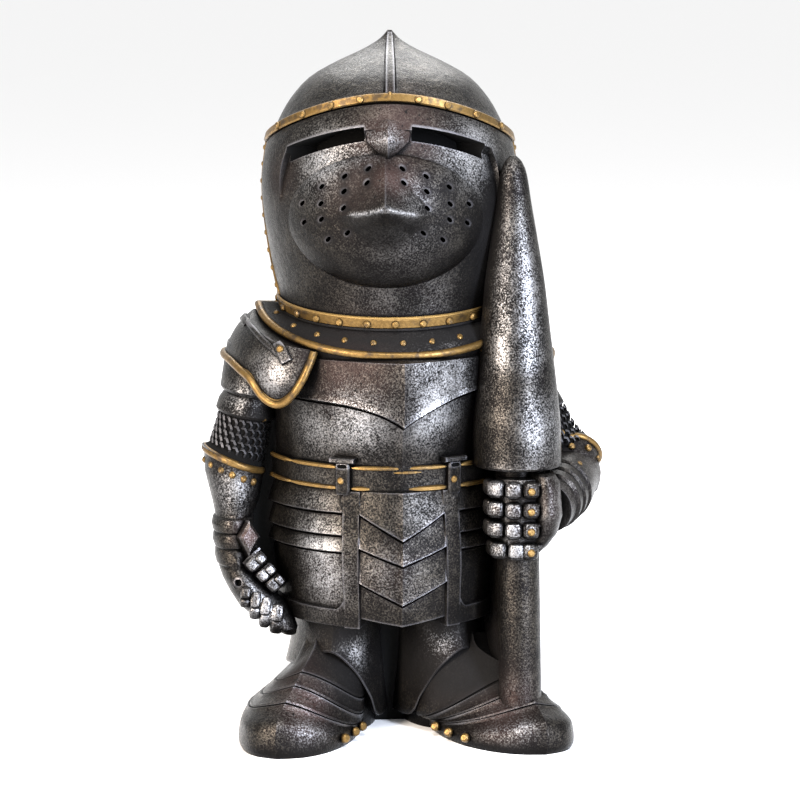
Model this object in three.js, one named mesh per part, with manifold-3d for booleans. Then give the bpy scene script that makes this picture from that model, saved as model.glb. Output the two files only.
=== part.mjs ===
// Squat helmeted knight figure, cast in one piece, about the height of a hand.
// Millimetres, Z up, the floor at Z = 0, the figure faces -Y, its left arm in the picture at -X.

import * as THREE from 'three';
import { mergeVertices } from 'three/addons/utils/BufferGeometryUtils.js';
import Module from 'manifold-3d';

const wasm = await Module();
wasm.setup();

// Overall sizes

const HEIGHT = 175.3;
const HEM_Z = 29.4;
const BELT_LOW = 64.6;
const BELT_HIGH = 69.8;
const RIVET_R = 0.75;
const RAD = Math.PI / 180;

// Small vector and table helpers

const add = (p, q, k = 1) => [p[0] + k * q[0], p[1] + k * q[1], p[2] + k * q[2]];
const sub = (p, q) => add(p, q, -1);
const mix = (a, b, t) => a + (b - a) * t;
const lerp = (p, q, t) => p.map((v, i) => mix(v, q[i], t));
const dot = (p, q) => p[0] * q[0] + p[1] * q[1] + p[2] * q[2];
const cross = (p, q) => [
  p[1] * q[2] - p[2] * q[1],
  p[2] * q[0] - p[0] * q[2],
  p[0] * q[1] - p[1] * q[0],
];
const unit = (p) => {
  const size = Math.hypot(...p);
  return p.map((v) => v / size);
};
const clamp = (v, low, high) => Math.min(high, Math.max(low, v));
const count = (n) => Array.from({ length: n }, (_, i) => i);
const steps = (low, high, n) => count(n + 1).map((i) => mix(low, high, i / n));

// A smooth curve through rows of [station, value, value, ...]
function follow(rows) {
  const slope = (i, k) => {
    const before = rows[Math.max(0, i - 1)];
    const after = rows[Math.min(rows.length - 1, i + 1)];
    return (after[k] - before[k]) / (after[0] - before[0]);
  };
  return (station) => {
    const t = clamp(station, rows[0][0], rows[rows.length - 1][0]);
    let i = 0;
    while (i < rows.length - 2 && t > rows[i + 1][0]) i += 1;
    const [from, to] = [rows[i], rows[i + 1]];
    const span = to[0] - from[0];
    const h = (t - from[0]) / span;
    return from.slice(1).map((value, j) => {
      const k = j + 1;
      const rise = h * h * (3 - 2 * h);
      const swell = h * (1 - h) ** 2 * slope(i, k) - h * h * (1 - h) * slope(i + 1, k);
      return mix(value, to[k], rise) + swell * span;
    });
  };
}

// Solid makers

function solid(points, faces) {
  const volume = faces.reduce((sum, [a, b, c]) => sum + dot(points[a], cross(points[b], points[c])), 0);
  const outward = volume > 0 ? faces : faces.map(([a, b, c]) => [a, c, b]);
  return new wasm.Manifold(new wasm.Mesh({
    numProp: 3,
    vertProperties: new Float32Array(points.flat()),
    triVerts: new Uint32Array(outward.flat()),
  }));
}

function fromGeometry(geometry) {
  geometry.deleteAttribute('normal');
  geometry.deleteAttribute('uv');
  const merged = mergeVertices(geometry, 1e-4);
  const { position } = merged.attributes;
  const points = count(position.count).map((i) => [position.getX(i), position.getY(i), position.getZ(i)]);
  const index = merged.index.array;
  const faces = count(index.length / 3).map((i) => [...index.slice(3 * i, 3 * i + 3)]);
  return solid(points, faces.filter(([a, b, c]) => a !== b && b !== c && c !== a));
}

// Closed loops of equal length joined into a body with flat ends
function loft(rings, closed = false) {
  const n = rings[0].length;
  const points = rings.flat();
  const faces = [];
  for (const k of count(closed ? rings.length : rings.length - 1)) {
    const next = ((k + 1) % rings.length) * n;
    for (const i of count(n)) {
      const j = (i + 1) % n;
      faces.push([k * n + i, k * n + j, next + j], [k * n + i, next + j, next + i]);
    }
  }
  if (!closed) {
    const middle = (ring) => ring.reduce((sum, p) => add(sum, p, 1 / n), [0, 0, 0]);
    const low = points.push(middle(rings[0])) - 1;
    const high = points.push(middle(rings[rings.length - 1])) - 1;
    const last = (rings.length - 1) * n;
    for (const i of count(n)) {
      const j = (i + 1) % n;
      faces.push([low, j, i], [high, last + i, last + j]);
    }
  }
  return solid(points, faces);
}

// A plate between an outer and an inner surface, both functions of (u, v)
function plate(us, vs, outer, inner) {
  const rows = vs.map((v) => us.map((u) => outer(u, v)));
  const backs = vs.map((v) => us.map((u) => inner(u, v)));
  const [m, n] = [vs.length, us.length];
  const points = [...rows.flat(), ...backs.flat()];
  const at = (j, i) => j * n + i;
  const faces = [];
  const quad = (a, b, c, d) => faces.push([a, b, c], [a, c, d]);
  for (const j of count(m - 1)) {
    for (const i of count(n - 1)) {
      const [a, b, c, d] = [at(j, i), at(j, i + 1), at(j + 1, i + 1), at(j + 1, i)];
      quad(a, b, c, d);
      quad(d + m * n, c + m * n, b + m * n, a + m * n);
    }
  }
  for (const j of count(m - 1)) {
    quad(at(j, 0), at(j + 1, 0), at(j + 1, 0) + m * n, at(j, 0) + m * n);
    quad(at(j + 1, n - 1), at(j, n - 1), at(j, n - 1) + m * n, at(j + 1, n - 1) + m * n);
  }
  for (const i of count(n - 1)) {
    quad(at(0, i + 1), at(0, i), at(0, i) + m * n, at(0, i + 1) + m * n);
    quad(at(m - 1, i), at(m - 1, i + 1), at(m - 1, i + 1) + m * n, at(m - 1, i) + m * n);
  }
  return solid(points, faces);
}

// A round bar along points; radii may change and may differ across and along the facing direction
function bar(path, radius, { sides = 6, facing = [0, -1, 0.2], closed = false } = {}) {
  const last = path.length - 1;
  const rings = path.map((point, k) => {
    const before = path[closed ? (k + last) % path.length : Math.max(0, k - 1)];
    const after = path[closed ? (k + 1) % path.length : Math.min(last, k + 1)];
    const along = unit(sub(after, before));
    const ahead = typeof facing === 'function' ? facing(point) : facing;
    const side = unit(cross(along, ahead));
    const out = cross(side, along);
    const size = typeof radius === 'function' ? radius(k / last) : radius;
    const [wide, deep] = Array.isArray(size) ? size : [size, size];
    return count(sides).map((i) => {
      const turn = (2 * Math.PI * (i + 0.5)) / sides;
      return add(add(point, side, wide * Math.cos(turn)), out, deep * Math.sin(turn));
    });
  });
  return loft(rings, closed);
}

// A domed rivet head standing on a surface
function rivet(point, normal, r = RIVET_R) {
  const out = new THREE.Vector3(...unit(normal));
  const profile = [[0, -1.2], [1, -1.2], [1, 0.2], [0, 0.8]].map(([x, y]) => new THREE.Vector2(x * r, y * r));
  const turn = new THREE.Quaternion().setFromUnitVectors(new THREE.Vector3(0, 1, 0), out);
  return fromGeometry(new THREE.LatheGeometry(profile, 6).applyQuaternion(turn).translate(...point));
}

const union = (bodies) => wasm.Manifold.union(bodies.flat(Infinity));

// Body surface: an oval section at every height, turned about the Z axis

const bodySection = follow([
  [22, 26.4, 27.4, 24.5],
  [HEM_Z, 27.0, 28.6, 25.0],
  [36, 27.8, 29.2, 25.6],
  [46, 29.2, 29.8, 26.2],
  [58, 29.4, 29.6, 26.6],
  [BELT_HIGH, 29.0, 29.8, 26.8],
  [82, 29.6, 31.4, 27.8],
  [92, 30.6, 32.2, 28.6],
  [99, 31.0, 31.6, 28.8],
  [106, 29.4, 28.4, 27.4],
  [110, 26.0, 25.0, 25.0],
]);

function bodyPoint(angle, z, out = 0) {
  const [wide, front, back] = bodySection(z);
  const deep = Math.cos(angle) > 0 ? front : back;
  const normal = unit([Math.sin(angle) / wide, -Math.cos(angle) / deep, 0]);
  return add([wide * Math.sin(angle), -deep * Math.cos(angle), z], normal, out);
}

const bodyAngle = (x, z) => Math.asin(clamp(x / bodySection(z)[0], -1, 1));
const onBody = (x, z, out = 0) => bodyPoint(bodyAngle(x, z), z, out);

// Helmet surface, turned a little towards the empty hand

const HEAD_YAW = 7 * RAD;
const HEAD_X = 0.7;
const BROW_Z = 148.5;
const BROW_RISE = 11.3;

const headSection = follow([
  [100, 26.0, 0],
  [108, 26.6, 0],
  [115, 28.0, 0],
  [122, 29.3, 0],
  [131, 30.6, 0],
  [138, 31.0, 0],
  [144, 30.4, 0],
  [149.5, 29.2, 0],
  [154, 27.4, 0.3],
  [159, 24.4, 0.9],
  [164, 19.6, 1.8],
  [168, 12.4, 2.8],
  [170.5, 6.9, 3.4],
  [173, 2.7, 3.9],
  [HEIGHT, 0.5, 4.3],
]);

const turnHead = ([x, y, z]) => [
  HEAD_X + x * Math.cos(HEAD_YAW) + y * Math.sin(HEAD_YAW),
  y * Math.cos(HEAD_YAW) - x * Math.sin(HEAD_YAW),
  z,
];

function headPoint(angle, z, out = 0) {
  const [size, shift] = headSection(z);
  const wide = size + out;
  const deep = 1.02 * size + out;
  return turnHead([wide * Math.sin(angle), shift - deep * Math.cos(angle), z]);
}

const headNormal = (angle) => turnHead([Math.sin(angle) - HEAD_X, -Math.cos(angle), 0]);
const browZ = (angle) => BROW_Z + BROW_RISE * Math.max(0, Math.cos(angle)) ** 1.2;

// Swell of the visor over the plain helmet: a broad dome, with a four-sided beak set on it

const BEAK = { z: 134.5, reach: 44, half: 10.5, rise: 12.5, drop: 14.5 };
const VISOR_EDGE = 88 * RAD;
const VISOR_PROUD = 1.1;

function helmetPoint(angle, z, out) {
  const [size, shift] = headSection(z);
  const x = (size + out) * Math.sin(angle);
  const skin = (1.02 * size + out) * Math.cos(angle);
  const inside = Math.max(0, 1 - (x / 27) ** 2 - ((z - BEAK.z) / 16.5) ** 2);
  const swell = Math.abs(angle) < VISOR_EDGE && z < browZ(angle) - 1.3 ? 6 * inside ** 0.7 : 0;
  return turnHead([x, shift - skin - swell, z]);
}

function helmet() {
  const half = [0, 5, 10, 19, 29, 39, 50, 62, 75, 87.7, 88.6, 104, 122, 141, 160];
  const columns = [180, ...half.slice(1).reverse()].map((turn) => -turn).concat(half);
  const angles = columns.map((turn) => turn * RAD);
  const front = (angle) => Math.abs(angle) < VISOR_EDGE;
  const top = BROW_Z + BROW_RISE;
  // A level that is flat below the beak and bends with the brow band above it
  const bent = (level) => (angle) => {
    const bend = clamp((level - BEAK.z) / (top - 2 - BEAK.z), 0, 1);
    return level + bend * (browZ(angle) - top);
  };
  const proud = (angle) => (front(angle) ? VISOR_PROUD : 0);
  const none = () => 0;
  const keel = (height) => (angle) => (Math.abs(Math.sin(angle)) < 0.01 ? height : 0);
  const bandOut = (angle) => (Math.cos(angle) > -0.05 ? 1.2 + 0.8 * Math.cos(angle) ** 2 : 0);
  const lines = [
    [() => 101, none],
    ...[106, 112, 118, 123, 128.5, BEAK.z, 140, 145, 149].map((level) => [bent(level), proud]),
    [bent(153), proud],
    [bent(top - 1.4), proud],
    [bent(top - 1.2), bandOut],
    [bent(top + 1.2), bandOut],
    [bent(top + 1.4), keel(0.9)],
    ...[163.6, 166.4, 169, 171, 173.2, HEIGHT].map((level) => [
      (angle) => mix(browZ(angle) + 1.4, HEIGHT, (level - top - 1.4) / (HEIGHT - top - 1.4)),
      keel(level < 172 ? 0.9 : 0),
    ]),
  ];
  const shell = loft(lines.map(([height, out]) => angles.map((angle) => (
    helmetPoint(angle, height(angle), out(angle))))));

  // The beak: tip, four corners on the dome and one point inside it
  const reachAt = (x, z) => {
    const [size] = headSection(z);
    return helmetPoint(Math.asin(x / (size + VISOR_PROUD)), z, VISOR_PROUD - 0.2);
  };
  const corners = [[-BEAK.half, 0], [0, BEAK.rise], [BEAK.half, 0], [0, -BEAK.drop]];
  const beak = solid(
    [turnHead([0, -BEAK.reach, BEAK.z]), turnHead([0, -20, BEAK.z]),
      ...corners.map(([x, dz]) => reachAt(x, BEAK.z + dz))],
    count(4).flatMap((i) => [[0, 2 + i, 2 + ((i + 1) % 4)], [1, 2 + ((i + 1) % 4), 2 + i]]),
  );
  const slitMid = (angle) => browZ(angle) - 8.1;
  const slits = [[-55, -10], [9.3, 52.6]].map(([from, to]) => plate(
    steps(from * RAD, to * RAD, 4),
    [-1.35, 1.35],
    (angle, v) => headPoint(angle, slitMid(angle) + v, 6),
    (angle, v) => headPoint(angle, slitMid(angle) + v, -1.6),
  ));
  return { shell: [shell, beak], cuts: slits };
}

// Rivets along the brow band
const browRivets = () => [-1, 1].flatMap((side) => [8.3, 16, 22.7, 28].map((x) => {
  const angle = side * Math.asin(x / 30.6);
  return rivet(headPoint(angle, browZ(angle), 2.0), headNormal(angle), 0.8);
}));

// Collar: a gold neck band, a dark sloping plate with rivets and a rolled gold edge

const rimZ = (angle) => (Math.cos(angle) > 0
  ? 97.8 + 9.2 * (1 - Math.cos(angle)) ** 1.1
  : 107 + 4 * Math.cos(angle));
const bandZ = (angle) => 105.4 + 3.2 * (1 - Math.abs(Math.cos(angle)));

function collar() {
  const turns = count(28).map((i) => (2 * Math.PI * i) / 28);
  const ring = (height, grow) => turns.map((turn) => {
    const [x, y] = headPoint(turn, 107, grow);
    return [x, y, height(turn)];
  });
  const rim = turns.map((turn) => {
    const [x, y] = bodyPoint(turn, 99, 0.9);
    return [x, y, rimZ(turn)];
  });
  const rimRing = (lift, out) => rim.map(([x, y, z]) => {
    const pull = 1 + out / Math.hypot(x, y);
    return [x * pull, y * pull, z + lift];
  });
  const cuff = loft([
    rimRing(-8, -2.5),
    rimRing(-0.8, 0.1),
    rimRing(-0.3, 0.9),
    rimRing(0.4, 0.8),
    rimRing(0.7, -0.1),
    ring((t) => bandZ(t) - 1.4, 0.7),
    ring((t) => bandZ(t) - 1.2, 1.2),
    ring((t) => bandZ(t) + 0.9, 1.9),
    ring((t) => bandZ(t) + 1.4, 1.0),
    ring((t) => bandZ(t) + 1.2, -2),
  ]);
  const onSlope = [-75, -56, -40, -25, -11, 3, 17, 32, 48].map((turn) => {
    const angle = turn * RAD;
    const low = bodyPoint(angle, 99, 0.6);
    const [x, y] = headPoint(angle - 3 * RAD, 107, 0.9);
    return rivet(lerp([low[0], low[1], rimZ(angle)], [x, y, bandZ(angle) - 1.4], 0.42), [x, y, 14]);
  });
  return [cuff, onSlope];
}

// Trunk: one skin over the body surface, its plates standing proud with lifted lower edges

const MIDDLE = 19 * RAD;
const BORDER = 27 * RAD;
const CHEVRONS = [[35.6, 5.2], [45.6, 4.0], [51.8, 6.2]];
const HIP_LAMES = [48.0, 52.2, 57.8];

function trunk() {
  const half = [0, 5, 10, 15, 18.9, 19.6, 26.4, 27.1, 36, 46, 57, 68, 79, 90, 105, 121, 137, 152, 166];
  const columns = [180, ...half.slice(1).reverse()].map((turn) => -turn).concat(half);
  const angles = columns.map((turn) => turn * RAD);
  const across = (angle) => 29.6 * Math.sin(angle);
  const middle = (angle) => Math.abs(angle) < MIDDLE;
  const border = (angle) => !middle(angle) && Math.abs(angle) < BORDER;
  const ahead = (angle) => Math.cos(angle) > 0;
  const keel = (angle, size) => (ahead(angle) ? size * Math.max(0, 1 - Math.abs(across(angle)) / 8) : 0);
  const wing = (angle) => Math.min(1, Math.abs(across(angle)) / 9.5);

  const hemZ = (angle) => HEM_Z + (middle(angle) ? 1 + 1.6 * wing(angle) : 0);
  const skirtOut = (side) => (angle) => {
    if (middle(angle)) return 0.9 + keel(angle, 1.2);
    return border(angle) ? 1.9 : side;
  };
  const lameZ = (k) => (angle) => (middle(angle)
    ? CHEVRONS[k][0] + CHEVRONS[k][1] * wing(angle)
    : HIP_LAMES[k] + 0.5 * Math.cos(angle));
  const lame = (k) => [
    [(angle) => lameZ(k)(angle) - 0.1, (angle) => skirtOut(0.7)(angle) - (border(angle) ? 0 : 0.3)],
    [(angle) => lameZ(k)(angle) + 0.1, (angle) => skirtOut(1.6)(angle) + (middle(angle) ? 0.5 : 0)],
  ];
  const breastLow = (angle) => (ahead(angle)
    ? 80.3 + 6.1 * (1 - Math.exp(-Math.abs(across(angle)) / 7.5))
    : 86.4);
  const lines = [
    [(angle) => hemZ(angle), () => -4],
    [(angle) => hemZ(angle), skirtOut(1.9)],
    [() => HEM_Z + 4.4, skirtOut(1.9)],
    [() => HEM_Z + 4.6, skirtOut(1.0)],
    ...lame(0),
    ...lame(1),
    ...lame(2),
    [() => BELT_LOW - 0.5, skirtOut(0.5)],
    [() => BELT_LOW - 0.3, (angle) => 1.3 + keel(angle, 0.5)],
    [() => BELT_HIGH + 0.3, (angle) => 1.3 + keel(angle, 0.5)],
    [() => BELT_HIGH + 0.5, (angle) => 0.3 + keel(angle, 0.9)],
    [(angle) => breastLow(angle) - 0.1, (angle) => 0.3 + keel(angle, 1.2)],
    [(angle) => breastLow(angle) + 0.1, (angle) => 1.5 + keel(angle, 1.2)],
    [() => 97, () => 0.7],
    [() => 104, () => 0],
  ];
  // The two upright borders spread apart towards the hem
  const spread = (angle, z) => {
    const low = clamp((BELT_LOW - z) / (BELT_LOW - HEM_Z), 0, 1);
    const near = Math.exp(-(((Math.abs(angle) - 0.4) / 0.26) ** 2));
    return low * near * (angle > 0 ? 4.5 : -1.5) * RAD;
  };
  const skin = loft(lines.map(([height, out]) => angles.map((angle) => {
    const z = height(angle);
    return bodyPoint(angle + spread(angle, z), z, out(angle));
  })));
  const straps = [-13.3, 12.3].flatMap((x) => [
    plate(
      [x - 1.95, x + 1.95],
      [BELT_LOW - 5.5, BELT_LOW - 0.4, BELT_HIGH + 1.6],
      (u, z) => onBody(u, z, 2.3),
      (u, z) => onBody(u, z, -2),
    ),
    rivet(onBody(x - 0.3, BELT_LOW + 1.9, 2.3), [x / 30, -1, 0], 0.8),
  ]);
  return [skin, straps];
}

// Shoulder plates: an egg-shaped cap trimmed by a tongue-shaped outline, the same back and front

const SHOULDER = { x: 23, y: -1.5, z: 91.3, rx: 18.4, ry: 26, rz: 17.8 };
const tongueZ = follow([
  [-42, 95.4],
  [-40, 93.9],
  [-36, 89.8],
  [-33, 86.7],
  [-30.5, 85.3],
  [-28.3, 86.0],
  [-25.5, 89.2],
  [-22.6, 93.6],
  [-20.4, 98.6],
]);

function shoulder(side) {
  const { x: cx, y: cy, z: cz, rx, ry, rz } = SHOULDER;
  const reach = ([x, y, z]) => 1 / Math.hypot(x / rx, y / ry, z / rz);
  const place = (direction, grow) => {
    const size = reach(direction) * grow;
    return [side * (cx - size * direction[0]), cy + size * direction[1], cz + size * direction[2]];
  };
  const xs = [...steps(-20.4, -36.4, 8), -39.8];
  const front = xs.map((x) => {
    const z = tongueZ(x)[0];
    const left = Math.max(0.02, 1 - ((x + cx) / rx) ** 2 - ((z - cz) / rz) ** 2);
    return [x + cx, -ry * Math.sqrt(left), z - cz];
  });
  const outer = [-rx * 0.985, 0, 3.1];
  const edge = [...front, outer, ...front.map(([x, y, z]) => [x, -y, z]).reverse()];
  const top = [-2, 0, rz];
  // The last strip before the edge is the raised trim
  const skin = (u, v) => place(lerp(top, edge[u], v), v > 0.92 ? 1.045 : 1);
  const inside = (u, v) => place(lerp(top, edge[u], v), 0.6);
  return [plate(count(edge.length), [0.06, 0.4, 0.7, 0.915, 0.93, 1], skin, inside)];
}

// Arms: level ovals [x, y, z, half width, half depth, lean], the lean tips an oval sideways

function limb(rows, sides = 12) {
  return loft(rows.map(([x, y, z, wide, deep, lean = 0]) => count(sides).map((i) => {
    const turn = (2 * Math.PI * (i + 0.5)) / sides;
    const across = wide * Math.cos(turn);
    return [x + across, y + deep * Math.sin(turn), z + lean * across];
  })));
}

function hangingArm() {
  const arm = limb([
    [-31, -1, 98, 9.5, 13],
    [-34.2, -1.2, 90, 7.4, 10.5, -0.18],
    [-34.9, -1.4, 84.9, 7.2, 10, -0.18],
    [-34.9, -1.4, 84.6, 6.6, 9.4, -0.18],
    [-36, -1.7, 79.6, 7.5, 10, -0.18],
    [-36.1, -1.7, 79.3, 6.6, 9.2, -0.18],
    [-38, -2.2, 71, 7.2, 9.2, -0.3],
    [-39.2, -2.7, 69.3, 7.2, 9.2, -0.4],
    [-39.3, -2.7, 69.2, 8.3, 10.3, -0.4],
    [-39.4, -2.7, 67.2, 8.4, 10.4, -0.4],
    [-39.4, -2.7, 67, 7.7, 9.7, -0.4],
    [-39.6, -3, 64, 7.6, 9.8, -0.3],
    [-39.2, -3.6, 60.6, 6.3, 8.8, -0.15],
    [-39.3, -4.6, 55, 5.2, 7.8],
    [-39.9, -5.6, 54.6, 4.6, 7.2],
    [-40, -5.8, 53, 5.2, 7.8],
    [-40, -6, 51, 4.5, 7.2],
    [-40, -6.2, 49, 5.0, 7.6],
    [-39.9, -6.4, 47, 4.4, 7],
    [-39.7, -6.6, 44.8, 4.9, 7.5],
    [-39.3, -7.2, 42.4, 4.4, 7],
    [-37.9, -8.6, 39.6, 5.0, 7.4],
    [-35.4, -9.8, 36, 6.0, 7.8],
    [-32.8, -10.8, 32.6, 6.6, 7.6],
    [-30.0, -11.6, 29.6, 5.6, 7],
    [-27.6, -12.2, 27, 4, 6],
    [-26.2, -12.4, 24.8, 2.2, 4],
  ]);
  const thumb = bar(
    [[-37.4, -10, 53], [-35.8, -13, 47.6], [-33.6, -15.2, 42.4], [-30.8, -16, 38.8], [-28, -16.4, 35]],
    (t) => [1.4, 2.6, 2, 2.1, 1.2][Math.round(4 * t)],
    { sides: 5 },
  );
  const fingers = count(4).map((i) => {
    const [x, z] = [-36.6 + 2.7 * i, 33.6 - 1.85 * i];
    return bar([[x - 0.9, -14.6, z + 4.4], [x, -18.2, z + 1.8], [x + 0.8, -16, z - 3]],
      (t) => (t === 0.5 ? 1.5 : 1.1), { sides: 5, facing: [1, 0, 0.4] });
  });
  const web = loft([[30, -32], [60, -36], [94, -30]].map(([z, x]) => (
    [[x, -6, z], [-22, -4, z], [-22, 8, z], [x, 4, z]])));
  return [arm, thumb, fingers, web];
}

// The lance: a long cone with a blunt tip above the fist, a plain shaft below it

const LANCE_TOP = [28.7, -21, 145.4];
const LANCE_FOOT = [29.9, -30, 6];
const lanceAxis = (z) => lerp(LANCE_FOOT, LANCE_TOP, (z - LANCE_FOOT[2]) / (LANCE_TOP[2] - LANCE_FOOT[2]));

function lance() {
  const radius = follow([
    [69.3, 10.9],
    [78, 10.9],
    [85.5, 10.4],
    [92.7, 9.7],
    [103.8, 8.5],
    [114.9, 7.3],
    [126, 5.6],
    [134.1, 4.3],
    [141.3, 3.2],
    [144, 2.1],
    [145.4, 0.7],
  ]);
  // Profiles turned about Z, then sheared onto the leaning axis
  const turned = (profile, sides) => {
    const points = profile.map(([r, z]) => new THREE.Vector2(r, z));
    const shape = new THREE.LatheGeometry(points, sides).rotateX(Math.PI / 2);
    const [x, y] = sub(LANCE_TOP, LANCE_FOOT).map((v, i, all) => v / all[2]);
    const [footX, footY, footZ] = LANCE_FOOT;
    shape.applyMatrix4(new THREE.Matrix4().set(
      1, 0, x, footX - x * footZ,
      0, 1, y, footY - y * footZ,
      0, 0, 1, 0,
      0, 0, 0, 1,
    ));
    return fromGeometry(shape);
  };
  const cone = turned([
    [0, 69.3],
    [10.5, 69.3],
    ...[69.7, 82, 97, 115, 129, 141.3, 144].map((z) => [radius(z)[0], z]),
    [0, 145.4],
  ], 16);
  const shaft = turned([[0, 3], [5.3, 3], [5.3, 40], [5.3, 74], [0, 74]], 16);
  // Cast web from the lance back to the body and the helmet
  const webTop = loft([
    [72, 13, -18], [95, 12, -17], [112, 12, -12], [132, 16, -9], [139, 17, -10],
  ].map(([z, x, y]) => {
    const [ax, ay] = lanceAxis(z);
    return [[ax - 2, ay - 2, z], [ax + 2, ay + 1, z], [x + 7, y + 15, z], [x, y + 13, z]];
  }));
  const webLow = loft([4, 30, 60, 72].map((z) => {
    const [ax, ay] = lanceAxis(z);
    return [[ax - 3.4, ay, z], [ax + 3, ay, z], [20, 2, z], [8, -8, z]];
  }));
  return [cone, shaft, webTop, webLow];
}

// The other arm: elbow out, forearm forward, a fist round the shaft

const WRIST_WAY = unit([-0.42, -0.88, -0.2]);

function lanceArm() {
  const arm = limb([
    [30, -1, 98, 9.5, 13],
    [33.6, -1.4, 90, 8.4, 10.5],
    [37.0, -2, 82, 7.6, 9.6],
    [40.8, -2.8, 75, 7.2, 9],
    [43.6, -3.2, 71.7, 7.0, 8.6],
    [45, -3.4, 71.5, 8.7, 9.9],
    [45.6, -3.7, 69.5, 9.4, 10.5],
    [45.7, -3.8, 69.2, 8.9, 10],
    [46.4, -4.4, 66, 9.1, 10.2],
    [46.2, -6, 61.5, 8.5, 9.5],
    [45.2, -7.6, 57.6, 6.4, 7.6],
    [44.4, -8.6, 55.4, 3.4, 4.6],
  ]);
  const side = unit(cross(WRIST_WAY, [0, 0, 1]));
  const up = cross(side, WRIST_WAY);
  const forearm = loft([
    [0, 6.5], [9.6, 7.6], [13, 7.6], [13.3, 6.8], [16.8, 7.2], [17.1, 6.4], [20.6, 6.8], [21, 6], [25, 5.6],
  ].map(([along, size]) => count(12).map((i) => {
    const turn = (2 * Math.PI * (i + 0.5)) / 12;
    const middle = add([47.6, -6, 63.6], WRIST_WAY, along);
    return add(add(middle, side, size * Math.cos(turn)), up, (size + 0.6) * Math.sin(turn));
  })));
  const backPlate = limb([
    [34.4, -31, 68.4, 2.6, 5.2],
    [35.2, -31.6, 66, 3.8, 6.4],
    [35.6, -31.8, 58, 4.0, 6.8],
    [34.9, -31, 53.4, 3.6, 6.2],
    [32.4, -30.6, 48.8, 2.4, 4.8],
  ]);
  // Four curled fingers as swelling bands round the shaft, tucked in below the wrist
  const band = (z, grow) => count(12).map((i) => {
    const turn = (2 * Math.PI * (i + 0.5)) / 12;
    const square = (v) => Math.sign(v) * Math.abs(v) ** 0.75;
    const tuck = Math.cos(turn) > 0 ? 1.2 * Math.max(0, 51 - z) : 0;
    const wide = 6.9 + grow - tuck;
    return [29.4 + wide * square(Math.cos(turn)), -31.4 + (6.6 + grow) * square(Math.sin(turn)), z];
  });
  const fist = loft([
    band(47, -2),
    ...[49.6, 54.8, 59.8, 64.8].flatMap((z) => [band(z - 2.5, 0), band(z - 1.6, 1), band(z + 1.6, 1)]),
    band(67, 0),
    band(67.4, -2),
  ]);
  const studs = [64.8, 59.8, 54.8, 49.6].map((z) => rivet([30.6, -39, z], [0.1, -1, 0.1], 0.85));
  return [arm, forearm, backPlate, fist, studs];
}

// Legs and armoured shoes, with the cast web between them

const SHOE_WALL = 2.6;

// Arched sections from heel to toe; the crest runs from inside the shin to the outer side of the toe
function shoe(outerSide, { x, y, long, wide, turn, crest }) {
  const [c, s] = [Math.cos(turn), Math.sin(turn)];
  const crestAt = follow(crest);
  const edge = (across, along, z) => [x + across * c - along * s, y - along * c - across * s, z];
  return loft([7, 24, 42, 60, 78, 96, 112, 128, 143, 158, 173].map((phase) => {
    const t = (1 - Math.cos(phase * RAD)) / 2;
    const along = long * (2 * t - 1);
    const half = wide * (1 - Math.abs(2 * t - 1) ** 2.3) ** (1 / 2.3);
    const top = crestAt(t);
    const arch = (side, rise) => {
      const [px, py] = edge(side * half, along, 0);
      const lift = rise ** (side === outerSide ? 1 : 0.82);
      return [mix(px, top[0], rise), mix(py, top[1], rise), mix(SHOE_WALL, top[2], lift)];
    };
    return [
      edge(-half, along, 0),
      ...[0, 0.2, 0.45, 0.72].map((rise) => arch(-1, rise)),
      top,
      ...[0.72, 0.45, 0.2, 0].map((rise) => arch(1, rise)),
      edge(half, along, 0),
    ];
  }));
}

function calf(side) {
  const mid = side * 13.2;
  return loft([
    [0, 12.4, 18.5, 8],
    [8, 12.8, 20, 9.6],
    [16, 11.8, 19.4, 12.8],
    [24, 10.8, 18.8, 14.2],
    [34, 10, 18.2, 14.6],
  ].map(([z, wide, front, back]) => count(14).map((i) => {
    const angle = (2 * Math.PI * i) / 14;
    const deep = Math.cos(angle) > 0 ? front : back;
    const ridge = Math.max(0, 1 - Math.abs(angle > Math.PI ? angle - 2 * Math.PI : angle) / 0.7);
    const across = wide * Math.sin(angle);
    const lean = side * (1 - 0.6 * (12.6 - wide));
    return [mid + lean + across, -1 - (deep + 1.5 * ridge) * Math.cos(angle), z];
  })));
}

function legs() {
  const left = shoe(-1, {
    x: -22.8, y: -11.8, long: 29.2, wide: 15, turn: 14 * RAD,
    crest: [[0, -15, 9, 18], [0.35, -16, 0, 22], [0.6, -19.5, -16, 21.5], [0.75, -24.6, -26, 16.2],
      [0.88, -29, -33, 11], [1, -31.8, -38.5, 5.6]],
  });
  const right = shoe(1, {
    x: 25.1, y: -13.2, long: 31.4, wide: 16.4, turn: -8 * RAD,
    crest: [[0, 16, 9, 18], [0.35, 17.5, 0, 22], [0.6, 24, -17, 19], [0.75, 30, -26, 14.2],
      [0.88, 32.6, -33, 10.4], [1, 33.9, -41, 5]],
  });
  const web = loft([0, 4, 34].map((z) => {
    const half = z ? 6 : 6.6;
    return [[1.2 - half, -8.6, z], [1.2 + half, -8.6, z], [1.2 + half, 10, z], [1.2 - half, 10, z]];
  }));
  return [left, right, calf(-1), calf(1), web];
}

function knight() {
  const { shell, cuts } = helmet();
  const head = union(shell).subtract(union(cuts));
  return union([
    head,
    browRivets(),
    collar(),
    trunk(),
    shoulder(-1),
    shoulder(1),
    hangingArm(),
    lance(),
    lanceArm(),
    legs(),
  ]);
}

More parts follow.
